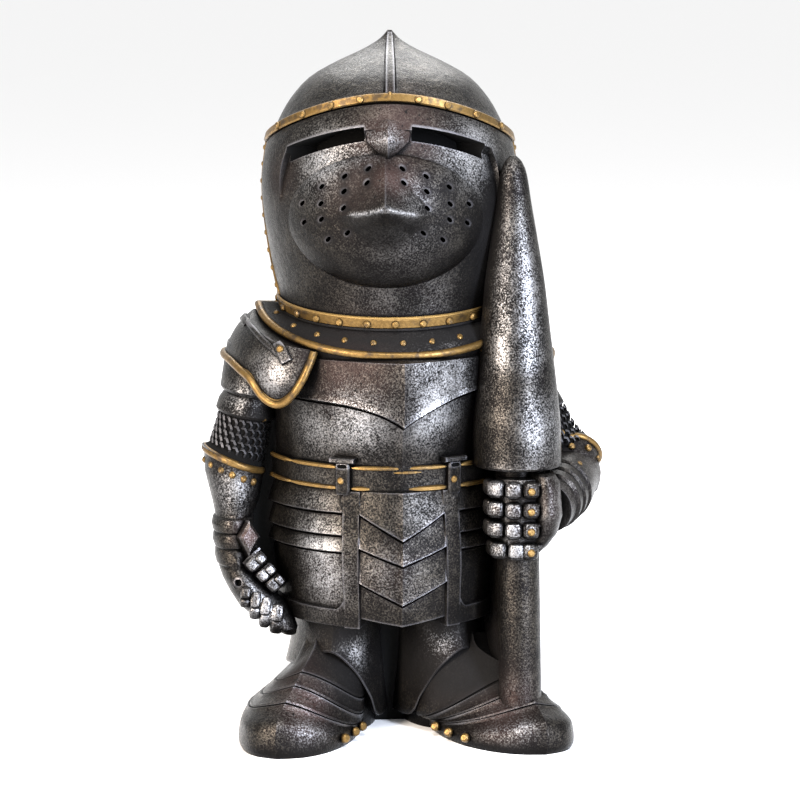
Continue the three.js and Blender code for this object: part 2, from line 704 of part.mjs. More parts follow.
function toMesh(body, name, material) {
  const { vertProperties, triVerts } = body.getMesh();
  const geometry = new THREE.BufferGeometry();
  geometry.setAttribute('position', new THREE.BufferAttribute(new Float32Array(vertProperties), 3));
  geometry.setIndex(new THREE.BufferAttribute(new Uint32Array(triVerts), 1));
  geometry.computeVertexNormals();
  const mesh = new THREE.Mesh(geometry, material);
  mesh.name = name;
  return mesh;
}

const silver = new THREE.MeshStandardMaterial({ name: 'painted_resin', color: 0x77726f, roughness: 0.5 });
const group = new THREE.Group();
group.name = 'knight_statue';
group.add(toMesh(knight(), 'knight_figure', silver));

export default group;
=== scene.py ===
"""Squat helmeted knight with a lance: one resin casting, painted black, antique silver and gold."""

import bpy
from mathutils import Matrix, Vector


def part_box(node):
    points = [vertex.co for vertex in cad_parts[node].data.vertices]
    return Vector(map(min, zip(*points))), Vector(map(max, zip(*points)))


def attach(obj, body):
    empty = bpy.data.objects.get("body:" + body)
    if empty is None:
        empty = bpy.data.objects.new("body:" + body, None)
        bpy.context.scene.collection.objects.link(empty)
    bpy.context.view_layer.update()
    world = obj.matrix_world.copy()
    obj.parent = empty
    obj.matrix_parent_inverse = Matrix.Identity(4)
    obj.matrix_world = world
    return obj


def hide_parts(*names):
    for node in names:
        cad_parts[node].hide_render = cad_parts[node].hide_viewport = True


bl_info = {
    "name": "Knight Statue",
    "version": (1, 0, 0),
    "blender": (4, 5, 0),
    "location": "3D View > Sidebar > Knight",
    "description": "Builds a small cast knight figure and the pale studio that it stands in",
    "category": "Object",
}

from math import cos, pi, radians, sin

import bmesh
import bpy
import numpy as np
from bpy.props import FloatProperty, FloatVectorProperty, PointerProperty
from mathutils import Vector

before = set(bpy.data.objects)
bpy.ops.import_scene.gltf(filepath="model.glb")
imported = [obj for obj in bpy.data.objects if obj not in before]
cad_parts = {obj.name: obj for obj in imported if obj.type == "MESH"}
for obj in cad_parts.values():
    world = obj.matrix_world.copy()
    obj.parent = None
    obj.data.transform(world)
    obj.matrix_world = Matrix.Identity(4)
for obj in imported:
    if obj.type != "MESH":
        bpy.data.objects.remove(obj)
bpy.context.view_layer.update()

# Lengths here are millimetres in the frame's axes; meshes are made in metres

MM = 0.001
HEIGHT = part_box("knight_figure")[1].z / MM
HEM_Z = 29.4
BELT_LOW = 64.6
BELT_HIGH = 69.8

# Paint of a face, as its material index
SILVER, GOLD, BLACK, WEB_SHADE = range(4)


# Numbers

def curve(rows):
    """Smooth curve through rows [station, value, ...]: a function of stations, one array per value."""
    table = np.array(rows, float)
    s, v = table[:, 0], table[:, 1:]
    slope = np.empty_like(v)
    slope[1:-1] = (v[2:] - v[:-2]) / (s[2:] - s[:-2])[:, None]
    slope[0] = (v[1] - v[0]) / (s[1] - s[0])
    slope[-1] = (v[-1] - v[-2]) / (s[-1] - s[-2])

    def at(station):
        t = np.clip(station, s[0], s[-1])
        i = np.clip(np.searchsorted(s, t, "right") - 1, 0, len(s) - 2)
        span = (s[i + 1] - s[i])[..., None]
        h = (t - s[i])[..., None] / span
        swell = h * (1 - h) ** 2 * slope[i] - h * h * (1 - h) * slope[i + 1]
        value = v[i] + (v[i + 1] - v[i]) * h * h * (3 - 2 * h) + swell * span
        return np.moveaxis(value, -1, 0)

    return at


def mix(a, b, t):
    return a + (b - a) * t


def unit(vectors):
    vectors = np.asarray(vectors, float)
    return vectors / np.linalg.norm(vectors, axis=-1, keepdims=True)


def axes(facing, up):
    """Directions out, across and up of a part that faces one way."""
    out = unit(facing)
    across = unit(np.cross(out, up))
    return out, across, np.cross(across, out)


def circle(n, start=0.0):
    """Angles of n points evenly round, the first one a share of a step along."""
    return (np.arange(n) + start) * 2 * pi / n


def ramp(value, low, high):
    """Share of the way from low to high, held at both ends."""
    return np.clip((value - low) / (high - low), 0, 1)


def tent(value, reach):
    """1 at zero, falling straight to 0 at the reach on either side."""
    return np.maximum(0, 1 - np.abs(value) / reach)


def stack(x, y, z):
    return np.stack(np.broadcast_arrays(x, y, z), -1).astype(float)


def marks(breaks, pitch):
    """Values from the first break to the last, about a pitch apart, with every break among them."""
    values = [float(breaks[0])]
    for a, b in zip(breaks, breaks[1:]):
        n = max(1, round(abs(b - a) / pitch))
        values.extend(np.linspace(a, b, n + 1)[1:])
    return np.array(values)


def along(points, pitch):
    """A smooth path through a few points, resampled at about a pitch."""
    points = np.array(points, float)
    length = np.r_[0, np.cumsum(np.linalg.norm(np.diff(points, axis=0), axis=1))]
    route = curve(np.column_stack([length, points]))
    return route(marks([0, length[-1]], pitch)).T


def blunt(n, ends):
    """Sizes along a trim of n rings, drawn in at both ends."""
    size = np.ones(n)
    size[[0, -1]] = ends
    size[[1, -2]] = 1 - 0.3 * (1 - ends)
    return size


# Solids: points, faces and the paint of each face

def finished(points, faces, paint):
    """Faces turned outwards, by the sign of the volume that they enclose."""
    points = np.asarray(points, float)
    quads = np.array([face if len(face) == 4 else [*face, face[2]] for face in faces])
    a, b, c, d = (points[quads[:, i]] for i in range(4))
    volume = np.einsum("ij,ij->", a, np.cross(b, c)) + np.einsum("ij,ij->", a, np.cross(c, d))
    if volume < 0:
        faces = [face[::-1] for face in faces]
    return points, faces, list(paint)


def loft(rings, paint=SILVER, closed=False):
    """Closed loops of equal length joined into a body with flat ends."""
    rings = np.asarray(rings, float)
    m, n = rings.shape[:2]
    at = np.arange(m * n).reshape(m, n)
    low = at if closed else at[:-1]
    high = np.roll(at, -1, 0) if closed else at[1:]
    quads = np.stack([low, np.roll(low, -1, 1), np.roll(high, -1, 1), high], -1)
    bands = np.broadcast_to(np.reshape(paint, (-1, 1)), (len(low), n)).ravel().tolist()
    points = rings.reshape(-1, 3)
    faces = quads.reshape(-1, 4).tolist()
    if not closed:
        points = np.vstack([points, rings[0].mean(0), rings[-1].mean(0)])
        for k, hub, flip in ((0, m * n, 1), (m - 1, m * n + 1, -1)):
            ring = at[k].tolist()
            faces.extend([hub, *pair[::flip]] for pair in zip(ring[1:] + ring[:1], ring))
            bands.extend([bands[0] if k == 0 else bands[-1]] * n)
    return finished(points, faces, bands)


def sheet(outer, inner, paint=SILVER):
    """A plate between two grids of points."""
    m, n = outer.shape[:2]
    points = np.vstack([outer.reshape(-1, 3), inner.reshape(-1, 3)])
    at = np.arange(m * n).reshape(m, n)
    front = np.stack([at[:-1, :-1], at[:-1, 1:], at[1:, 1:], at[1:, :-1]], -1).reshape(-1, 4)
    rim = np.concatenate([at[0, :-1], at[:-1, -1], at[-1, :0:-1], at[:0:-1, 0]])
    wall = np.stack([rim, rim + m * n, np.roll(rim, -1) + m * n, np.roll(rim, -1)], -1)
    faces = np.vstack([front, front[:, ::-1] + m * n, wall]).tolist()
    return finished(points, faces, [paint] * len(faces))


# Sections of piping and of thin wire
ROUND, FINE = [np.column_stack([np.cos(circle(n)), np.sin(circle(n))]) for n in (16, 6)]


def strap(width, rise, sink, corner):
    """Section of a flat raised strip, from below the skin to a chamfered top."""
    half, low = width / 2, rise - corner
    top = half - corner
    return np.array([[-half, -sink], [half, -sink], [half, low], [top, rise], [-top, rise], [-half, low]])


def sweep(path, normals, section, size=1.0, closed=False, paint=GOLD):
    """A section of (across, up) points carried along a path that lies on a surface."""
    path = np.asarray(path, float)
    normals = np.broadcast_to(np.asarray(normals, float), path.shape)
    if closed:
        way = unit(np.roll(path, -1, 0) - np.roll(path, 1, 0))
    else:
        way = unit(np.gradient(path, axis=0))
    side = unit(np.cross(way, normals))
    up = np.cross(side, way)
    scale = np.broadcast_to(size, len(path))[:, None, None]
    across = scale * section[None, :, :1] * side[:, None]
    rise = scale * section[None, :, 1:] * up[:, None]
    return loft(path[:, None] + across + rise, paint, closed)


def blob(centre, sizes, facing=(0, -1, 0), up=(0, 0, 1), square=0.7, paint=SILVER, sides=14):
    """A rounded lump: half sizes across, out and up, squarer as the power falls."""
    out, across, rise = axes(facing, up)
    tilt = np.radians([-86, -66, -44, -22, 0, 22, 44, 66, 86])[:, None]
    turn = circle(sides)

    def power(values):
        return np.sign(values) * np.abs(values) ** square

    a, b, c = sizes
    x = a * power(np.cos(tilt)) * power(np.cos(turn))
    y = b * power(np.cos(tilt)) * power(np.sin(turn))
    z = c * power(np.sin(tilt))
    return loft(centre + (x[..., None] * across + y[..., None] * out + z[..., None] * rise), paint)


def diamond(centre, sizes, facing):
    """Bevelled diamond-shaped plate: half sizes across and up."""
    out, across, up = axes(facing, (0, 0, 1))
    corner = np.array([[0, 1], [1, 0.1], [0.15, -1], [-1, 0.05]]) * sizes
    flat = corner[:, :1] * across + corner[:, 1:] * up
    profile = [(1, -2.5), (1.04, 0.3), (1.0, 0.55), (0.72, 1.0)]
    return loft([centre + (flat * grow + out * rise) for grow, rise in profile])


def rivet(point, normal, r):
    """Domed gold rivet head on a surface."""
    out, side, up = axes(normal, (0.3, 0.2, 1))
    turn = circle(10)[:, None]
    ring = np.cos(turn) * side + np.sin(turn) * up
    profile = [(1, -1.4), (1.04, 0.05), (0.9, 0.42), (0.55, 0.72)]
    return loft([point + r * (w * ring + h * out) for w, h in profile], GOLD)


def together(solids):
    """Solids that don't touch, as one."""
    points, faces, paint = [], [], []
    for more, quads, bands in solids:
        offset = sum(map(len, points))
        points.append(more)
        faces.extend([[i + offset for i in face] for face in quads])
        paint.extend(bands)
    return np.vstack(points), faces, paint


# Objects

def mesh_object(name, solid):
    points, faces, paint = solid
    mesh = bpy.data.meshes.new(name)
    mesh.from_pydata((points * MM).tolist(), [], faces)
    for material in paints():
        mesh.materials.append(material)
    mesh.polygons.foreach_set("material_index", paint)
    mesh.update()
    made = bpy.data.objects.new(name, mesh)
    bpy.context.scene.collection.objects.link(made)
    return made


def fuse(base, others, operation="UNION"):
    """Joins other objects to the base, or cuts it with them, and removes them."""
    for other in others:
        step = base.modifiers.new(other.name, "BOOLEAN")
        step.operation = operation
        step.solver = "MANIFOLD"
        step.object = other
    bpy.context.view_layer.update()
    whole = base.evaluated_get(bpy.context.evaluated_depsgraph_get())
    mesh = bpy.data.meshes.new_from_object(whole)
    base.modifiers.clear()
    base.data = mesh
    for other in others:
        bpy.data.objects.remove(other)
    return base


def one_skin(mesh):
    """Drops the closed pockets that joining leaves inside, so the casting has a single skin."""
    skin = bmesh.new()
    skin.from_mesh(mesh)
    seen = set()
    pieces = []
    for start in skin.verts:
        if start.index in seen:
            continue
        seen.add(start.index)
        front, piece = [start], []
        while front:
            vert = front.pop()
            piece.append(vert)
            for edge in vert.link_edges:
                other = edge.other_vert(vert)
                if other.index not in seen:
                    seen.add(other.index)
                    front.append(other)
        pieces.append(piece)
    for piece in sorted(pieces, key=len)[:-1]:
        bmesh.ops.delete(skin, geom=piece, context="VERTS")
    skin.to_mesh(mesh)
    skin.free()


def made_of(name, solids, cuts=()):
    """One object from overlapping solids, less its cuts."""
    base, *rest = [mesh_object(f"{name}_{i}", solid) for i, solid in enumerate(solids)]
    fuse(base, rest)
    if cuts:
        fuse(base, [mesh_object(f"{name}_cut_{i}", solid) for i, solid in enumerate(cuts)], "DIFFERENCE")
    base.name = name
    return base


# Body surface: an oval section at every height, angle 0 in front, growing towards the lance

BODY = curve([
    [22, 26.4, 27.4, 24.5],
    [HEM_Z, 27.0, 28.6, 25.0],
    [36, 27.8, 29.2, 25.6],
    [46, 29.2, 29.8, 26.2],
    [58, 29.4, 29.6, 26.6],
    [BELT_HIGH, 29.0, 29.8, 26.8],
    [82, 29.6, 31.4, 27.8],
    [92, 30.6, 32.2, 28.6],
    [99, 31.0, 31.6, 28.8],
    [106, 29.4, 28.4, 27.4],
    [110, 26.0, 25.0, 25.0],
])


def body_normal(angle, z):
    wide, front, back = BODY(z)
    deep = np.where(np.cos(angle) > 0, front, back)
    return unit(stack(np.sin(angle) / wide, -np.cos(angle) / deep, 0))


def body_point(angle, z, out):
    angle, z, out = np.broadcast_arrays(angle, z, out)
    wide, front, back = BODY(z)
    deep = np.where(np.cos(angle) > 0, front, back)
    skin = stack(wide * np.sin(angle), -deep * np.cos(angle), z)
    return skin + body_normal(angle, z) * out[..., None]


def body_angle(x, z):
    return np.arcsin(np.clip(x / BODY(z)[0], -1, 1))


# Helmet surface, turned a little towards the empty hand

HEAD_YAW = radians(7)
HEAD_X = 0.7
FACE_X = 0.2
NOSE_X = -0.3
MOUTH_X = -0.9
BROW_Z = 148.5
BROW_RISE = 11.3
TIP_Z = 134.5
VISOR_PROUD = 1.1
# Columns of the skin's grid, in degrees, where the scoop under the sights and the visor end
SCOOP = 51.5
REAR = 88
# Heights between which the skin's rows take up the bend of the brow band
STRAIGHT_Z = 120
BENT_Z = 147

HEAD = curve([
    [100, 26.0, 0],
    [108, 26.6, 0],
    [115, 28.0, 0],
    [122, 29.3, 0],
    [131, 30.6, 0],
    [138, 31.0, 0],
    [144, 30.4, 0],
    [149.5, 29.2, 0],
    [154, 27.4, 0.3],
    [159, 24.4, 0.9],
    [164, 19.6, 1.8],
    [168, 12.4, 2.8],
    [170.5, 6.9, 3.4],
    [173, 2.7, 3.9],
    [HEIGHT, 0.5, 4.3],
])

# Rear edge of the visor, as an angle from the front
VISOR_EDGE = curve([
    [100, 78], [108, 80], [115, 84], [125, 91], [136, 96], [144, 96], [149, 90], [160, 88],
])


def turned(points):
    """Head-frame points or directions turned with the helmet."""
    c, s = cos(HEAD_YAW), sin(HEAD_YAW)
    x, y, z = np.moveaxis(points, -1, 0)
    return stack(x * c + y * s, y * c - x * s, z)


def head_point(angle, z, out=0.0, ahead=0.0):
    angle, z, out, ahead = np.broadcast_arrays(angle, z, out, ahead)
    size, shift = HEAD(z)
    deep = size * np.where(np.cos(angle) > 0, 1.02, 1.008)
    skin = stack((size + out) * np.sin(angle), shift - (deep + out) * np.cos(angle) - ahead, z)
    return turned(skin) + np.array([HEAD_X, 0, 0])


def head_normal(angle, lift=0.0):
    return turned(stack(np.sin(angle), -np.cos(angle), lift))


def head_angle(x, z):
    return np.arcsin(np.clip(x / (HEAD(z)[0] + VISOR_PROUD), -1, 1))


def brow_z(angle):
    return BROW_Z + BROW_RISE * np.maximum(0, np.cos(angle)) ** 1.2


def helmet_skin():
    """Visor, brow and skull as one turned skin whose rows bend with the brow band."""
    right = np.r_[marks([0, SCOOP - 0.1, SCOOP + 0.4, REAR - 0.2], 1.9), marks([REAR + 0.2, 180], 3.6)]
    base = np.r_[-right[::-1], right[1:-1]]
    size = np.abs(base)
    behind = 180 - size

    def angles(z):
        edge = VISOR_EDGE(z)[0]
        warped = np.where(size <= REAR, size * edge / REAR, 180 - behind * (180 - edge) / (180 - REAR))
        return np.radians(np.sign(base) * warped)

    top = BROW_Z + BROW_RISE
    rows = []
    for level in marks([101, 149.2, 151.7, top - 1.4], 0.95):
        bend = ramp(level, STRAIGHT_Z, BENT_Z)
        bend = bend * bend * (3 - 2 * bend)
        z = np.full(base.shape, level)
        for _ in range(2):
            angle = angles(z)
            z = level + bend * (brow_z(angle) - top)
        # Soft keel under the brow band; below the sights the skin is scooped down to the mouth
        below = brow_z(angle) - z
        x = HEAD(z)[0] * np.sin(angle) - FACE_X
        keel = 0.9 * tent(x, 9) * ramp(z, 148, 151)
        dip = 1.6 * ramp(below, 7.4, 8.6) * ramp(below, 20, 11)
        out = VISOR_PROUD + keel - np.where(size <= SCOOP, dip, 0)
        rows.append(head_point(angle, z, np.where(size <= REAR, out, 0)))
    seat = np.where(np.cos(np.radians(base)) > -0.05, 0.4, 0)
    for lift in (-1.2, 1.2, 1.4):
        angle = angles(top + lift)
        rows.append(head_point(angle, brow_z(angle) + lift, seat))
    angle = np.radians(base)
    for share in np.sin(np.radians(marks([6, 90], 4.2))) ** 1.15:
        rows.append(head_point(angle, mix(brow_z(angle) + 1.4, HEIGHT, share)))
    return loft(rows)


def on_meridian(z, out):
    """Points down the middle of the skull's front."""
    return head_point(FACE_X / 31, z, out)


RIDGE = np.array([
    [-1.2, -1.5], [1.2, -1.5], [1.0, 0.3], [0.6, 0.75], [0, 0.9], [-0.6, 0.75], [-1.0, 0.3],
])


def skull_comb():
    """Narrow ridge from the brow band to the point, with a scribed line along each side."""
    z = marks([159.6, 166, 170, 173, HEIGHT - 0.9], 0.9)
    path = on_meridian(z, 0.1)
    size = np.interp(z, [157, 168, 173, HEIGHT], [1, 0.8, 0.6, 0.35])
    normals = unit(np.gradient(path, axis=0) @ np.array([[1, 0, 0], [0, 0, 1], [0, -1, 0]]).T)
    normals[:, 0] = 0
    comb = sweep(path, normals, RIDGE, size, paint=SILVER)
    scribes = []
    for side in (-1, 1):
        shifted = path + np.outer(side * 1.35 * size, [1, 0, 0])
        scribes.append(sweep(shifted, normals, FINE, 0.5 * size, paint=SILVER))
    return comb, scribes


MOUTH_WIDE = 23.9
MOUTH_HIGH = 16.4
MOUTH_Z = 130.4
DROOP = 2.3


def mouth_ahead(x, z):
    """How far the domed lower face stands before the visor: four facets meet at its tip."""
    inside = np.clip(1 - (x / MOUTH_WIDE) ** 2 - ((z - MOUTH_Z) / MOUTH_HIGH) ** 2, 0, 1)
    # The two facets below the tip are blended into a round chin
    rise = z - TIP_Z
    across = np.hypot(x / 11.5, 0.3 * ramp(rise, 0, -4))
    point = 7.2 * np.maximum(0, 1 - across - np.abs(rise) / np.where(rise > 0, 12.5, 15.0))
    return 4.4 * inside ** 0.58 + point - 0.25


def on_mouth(x, z, drop):
    """A point of the mouth's skin, x from its middle, lowered by a drop after it is shaped."""
    return head_point(head_angle(x + MOUTH_X, z - drop), z - drop, VISOR_PROUD, mouth_ahead(x, z))


def mouth():
    """Domed lower face on spokes that start from its tip."""
    start = np.arcsin((TIP_Z - MOUTH_Z) / MOUTH_HIGH)
    turn = marks([start, pi / 2, pi - start, 1.5 * pi, 2 * pi + start], radians(3.4))[:-1]
    rim_x, rim_z = MOUTH_WIDE * np.cos(turn), MOUTH_HIGH * np.sin(turn) + MOUTH_Z
    rings = []
    shares = np.r_[1.0, 1.0, 0.992, 0.975, 0.95, 0.92, 0.88, 0.84, 0.79, marks([0.73, 0.05], 0.06)]
    for share in shares:
        x, z = share * rim_x, TIP_Z + share * (rim_z - TIP_Z)
        rings.append(on_mouth(x, z, DROOP * np.sin(pi * share) * np.abs(np.cos(turn))))
    rings[0] = head_point(head_angle(rim_x + MOUTH_X, rim_z), rim_z, VISOR_PROUD, -4.0)
    return loft(rings)


# Rows of the nose from the top: height, half width, how proud of the visor
NOSE = [
    (155.6, 5.1, 0.4), (155.0, 5.1, 0.9), (154.7, 5.1, 1.4), (152.0, 5.2, 2.2),
    (150.2, 4.9, 2.8), (148.2, 2.9, 2.7), (146.3, 1.2, 2.0), (144.6, 0.1, 0.3),
]


def nose():
    """Wedge between the sights, drawn to a point above the mouth."""
    share = np.array([-1.15, -1, 0, 1, 1.15])
    rings = []
    for z, half, proud in NOSE:
        x = half * share + NOSE_X
        z = z - 0.6 * np.minimum(1, np.abs(share)) * min(1, half / 4)
        front = head_point(head_angle(x, z), z, VISOR_PROUD, np.array([-2.2, 0.1, proud, 0.1, -2.2]))
        rear = head_point(head_angle(x[::-2], z[::-2]), z[::-2], VISOR_PROUD, -4.0)
        rings.append(np.vstack([front, rear]))
    return loft(rings)


SIGHTS = [(-54.5, -11.8), (10.6, 49.5)]
BREATHS = [
    (4.3, 143.5), (10, 141.6), (15.6, 138.9), (20.5, 134.5),
    (4.3, 140.2), (10, 138), (15.7, 134.8), (20, 129.9),
    (10, 134), (15.5, 131), (13.8, 126.2), (9, 128),
]


def face_cuts():
    """Two sights that bend with the brow, and the slanted breath holes in the mouth."""
    cuts = []
    for low, high in SIGHTS:
        angle = np.radians(marks([low, high], 2))[None, :]
        edge = np.array([-2.0, 1.4])[:, None]
        aside = np.abs(np.sin(angle))
        z = brow_z(angle) - 7.6 + edge * (1 + 0.16 * aside) - 0.9 * aside
        cuts.append(sheet(head_point(angle, z, 7), head_point(angle, z, -8), BLACK))
    for side in (-1, 1):
        way = turned(np.array([0.2 * side, -1, 0.05]))
        for x, z in BREATHS:
            x = side * x + MOUTH_X
            centre = head_point(head_angle(x, z), z, VISOR_PROUD, 3.0)
            cuts.append(blob(centre, (0.5, 4.6, 0.85), way, (-side * 0.9, 0, 0.75), 0.8, BLACK, 10))
    return cuts


def brow_band():
    """Gold band over the brow, from ear to ear, with its rivets."""
    angle = np.radians(marks([-98, 0, 98], 2.5))
    z = brow_z(angle)
    path = head_point(angle, z, 0.8)
    band = sweep(path, head_normal(angle, 0.25), strap(2.2, 1.1, 1.6, 0.3), blunt(len(angle), 0.7))
    places = [-28, -22.7, -16, -8.3, 8.3, 16, 22.7, 28]
    turn = np.arcsin(np.array(places) / 30.6)
    heads = [rivet(head_point(a, brow_z(a) + 0.1, 1.95), head_normal(a, 0.25), 0.95) for a in turn]
    keel = blob(on_meridian(np.array(159.9), 1.2), (0.9, 1.0, 1.5), square=1.0, paint=GOLD, sides=10)
    return [band, keel, together(heads)]


def edge_strips():
    """Gold riveted strip down each rear edge of the visor."""
    solids = []
    z = marks([150, 108.5], 1.2)
    places = marks([146, 112], 4.2)
    for side in (-1, 1):
        angle, turn = [side * np.radians(VISOR_EDGE(heights)[0]) for heights in (z, places)]
        path = head_point(angle, z, 0.3)
        solids.append(sweep(path, head_normal(angle), strap(2.1, 1.2, 1.4, 0.35), blunt(len(z), 0.6)))
        heads = [rivet(head_point(a, h, 1.3), head_normal(a), 0.75) for a, h in zip(turn, places)]
        solids.append(together(heads))
    return solids


def helmet():
    comb, scribes = skull_comb()
    solids = [helmet_skin(), mouth(), nose(), comb, *brow_band(), *edge_strips()]
    return made_of("helmet", solids, [*face_cuts(), *scribes])


# Collar

# Heights at which the collar follows the body and the helmet
COLLAR_Z = 99.0
NECK_Z = 107.0


def rim_z(angle):
    c = np.cos(angle)
    return np.where(c > 0, 97.8 + 9.2 * np.maximum(0, 1 - c) ** 1.1, 107 + 4 * c)


def band_z(angle):
    return 105.4 + 3.2 * (1 - np.abs(np.cos(angle)))


def rim_point(angle, lift=0.0, out=0.0):
    point = body_point(angle, COLLAR_Z, 0.9)
    pull = 1 + out / np.hypot(point[..., 0], point[..., 1])
    return stack(point[..., 0] * pull, point[..., 1] * pull, rim_z(angle) + lift)


def neck_point(angle, lift=0.0, grow=0.0):
    point = head_point(angle, NECK_Z, grow)
    return stack(point[..., 0], point[..., 1], band_z(angle) + lift)


def collar():
    """Neck band, sloping plate and rolled edge, with their rivets."""
    turn = circle(120)
    edge = [(-8, -2.5), (-0.9, 0.1), (-0.3, 0.5), (0.5, 0.1), (0.8, -0.5)]
    edge = [rim_point(turn, *place) for place in edge]
    neck = [(-2.0, 0.9), (-1.9, 1.5), (-1.4, 1.6), (-1.2, 1.0), (1.2, 0.2), (1.2, -2)]
    neck = [neck_point(turn, *place) for place in neck]
    slope = loft([*edge, mix(edge[-1], neck[0], 0.5) + [0, 0, 0.3], *neck])
    around = circle(96)
    out = head_normal(around, -0.25)
    piping = sweep(rim_point(around, 0.15, 0.6), body_normal(around, COLLAR_Z), ROUND, 0.95, closed=True)
    band = sweep(neck_point(around, 0, 1.0), out, strap(2.5, 0.95, 1.6, 0.3), closed=True)
    lip = sweep(neck_point(around, 1.15, 1.75), out, FINE, 0.36, closed=True)
    on_band = np.radians([-68, -53, -39, -25.5, -11, 3, 17, 31, 46, 64, 90, 120, 150, 180, 210, 240, 265])
    on_slope = np.radians([-75, -56, -40, -25, -11, 3, 17, 32, 48, 75, 110, 145, 180, 215, 250])
    studs = [rivet(neck_point(a, -0.35, 2.0), head_normal(a, -0.1), 0.95) for a in on_band]
    for a in on_slope:
        place = mix(rim_point(a, 0.8, -0.5), neck_point(a, -2.0, 0.9), 0.42)
        studs.append(rivet(place, head_normal(a, 0.9), 0.85))
    return made_of("collar", [slope, piping, band, lip, together(studs)])


# Trunk

MIDDLE = 19
BORDER = 27
CHEVRONS = [(35.6, 5.2), (45.6, 4.0), (51.8, 6.2)]
HIP_LAMES = [48.0, 52.2, 57.8]


def filled(lines, pitch):
    """Feature lines (height, out) with plain rows between them, no further apart than the pitch."""
    rows = [lines[0]]
    for (z0, out0), (z1, out1) in zip(lines, lines[1:]):
        n = max(1, int(np.ceil(np.abs(z1 - z0).max() / pitch)))
        rows.extend([(mix(z0, z1, k / n), mix(out0, out1, k / n)) for k in range(1, n + 1)])
    return rows


def trunk_skin():
    """Breast, belt and skirt as one skin, its plates proud with lifted lower edges."""
    half = [0, MIDDLE - 0.25, MIDDLE + 0.25, BORDER - 0.2, BORDER + 0.2, 90, 180]
    right = np.r_[marks(half[:6], 2.1), marks(half[5:], 3.4)[1:]]
    degrees = np.r_[-right[::-1], right[1:-1]]
    angle = np.radians(degrees)
    size = np.abs(degrees)
    across = np.abs(29.6 * np.sin(angle))
    ahead = np.cos(angle) > 0
    middle = size < MIDDLE
    border = (size > MIDDLE) & (size < BORDER)
    wing = np.minimum(1, across / 9.5)

    def keel(height):
        ridge = 0.3 * min(1, height) * tent(across, 0.9)
        return np.where(ahead, height * tent(across, 13) + ridge, 0)

    def skirt(side, chevron=0.0):
        return np.where(middle, 0.9 + keel(2.2) + chevron, np.where(border, 2.1, side))

    hem = HEM_Z + np.where(middle, 1 + 1.6 * wing, 0)
    # The hem band turns up into the upright border in a round inner corner
    turned_up = HEM_Z + 4.5 + 2.6 * ramp(size, BORDER + 5, BORDER) ** 2 * (size > BORDER)
    lines = [
        (hem, -4),
        (hem, skirt(1.4)),
        (hem + 0.3, skirt(1.9)),
        (turned_up, skirt(1.9)),
        (turned_up + 0.3, skirt(0.9)),
    ]
    for (low, rise), side in zip(CHEVRONS, HIP_LAMES):
        z = np.where(middle, low + rise * wing, side + 0.5 * np.cos(angle))
        lines += [(z - 0.5, skirt(0.7, -0.2)), (z, skirt(0.1, -0.8)),
                  (z + 0.1, skirt(1.4, 0.5)), (z + 0.45, skirt(1.9, 0.95)), (z + 1.8, skirt(1.6, 0.6))]
    left, right = 6.0 * (1 - np.exp(-across / 7)), 10.5 * (1 - np.exp(-across / 13))
    breast = np.where(ahead, 80.3 + np.where(angle < 0, left, right), 86.4)
    lines += [
        (BELT_LOW - 0.6, skirt(0.4)),
        (BELT_LOW - 0.3, 1.2 + keel(0.5)),
        (BELT_HIGH + 0.3, 1.2 + keel(0.5)),
        (BELT_HIGH + 0.6, 0.2 + keel(1.4)),
        (breast - 0.7, 0.2 + keel(1.8)),
        (breast, keel(1.6) - 0.5),
        (breast + 0.1, 1.1 + keel(2.9)),
        (breast + 0.5, 1.8 + keel(3.2)),
        (breast + 1.6, 1.4 + keel(3.4)),
        (96.5, 1.0 + keel(3.4)),
        (98.3, -2),
        (103, -9),
    ]
    rows = []
    for z, out in filled(lines, 1.15):
        # The two upright borders spread apart towards the hem
        near = np.exp(-(((np.abs(angle) - 0.4) / 0.26) ** 2))
        spread = ramp(z, BELT_LOW, HEM_Z) * near * np.radians(np.where(angle > 0, 4.5, -1.5))
        rows.append(body_point(angle + spread, z, out))
    return loft(rows)


# Gold wires of the belt: edge, first and last angle, thickness
BELT_WIRES = [
    (BELT_HIGH, -58, -27.6, 0.55),
    (BELT_HIGH, -23.6, 0.6, 0.55),
    (BELT_HIGH, 2.2, 22.3, 0.55),
    (BELT_HIGH, 27.6, 62, 0.55),
    (BELT_HIGH, 62, 302, 0.55),
    (BELT_LOW, -58, -27.6, 0.55),
    (BELT_LOW, -23.4, -15.0, 0.75),
    (BELT_LOW, 3.0, 23.0, 0.75),
    (BELT_LOW, 27.6, 62, 0.6),
    (BELT_LOW, 62, 302, 0.55),
]


def belt_piping():
    """Gold wires along both edges of the belt, broken where the straps cross, plain behind."""
    wires = [(edge, 0.1, 1.35, low, high, 3, thick, 0.4) for edge, low, high, thick in BELT_WIRES]
    # A short loose end lies under the upper wire
    wires.append((BELT_HIGH, -0.9, 1.45, -4.5, 9, 2.5, 0.5, 0.3))
    solids = []
    for edge, lift, proud, low, high, pitch, thick, ends in wires:
        angle = np.radians(marks([low, high], pitch))
        size = thick * blunt(len(angle), ends)
        solids.append(sweep(body_point(angle, edge + lift, proud), body_normal(angle, edge), FINE, size))
    return solids


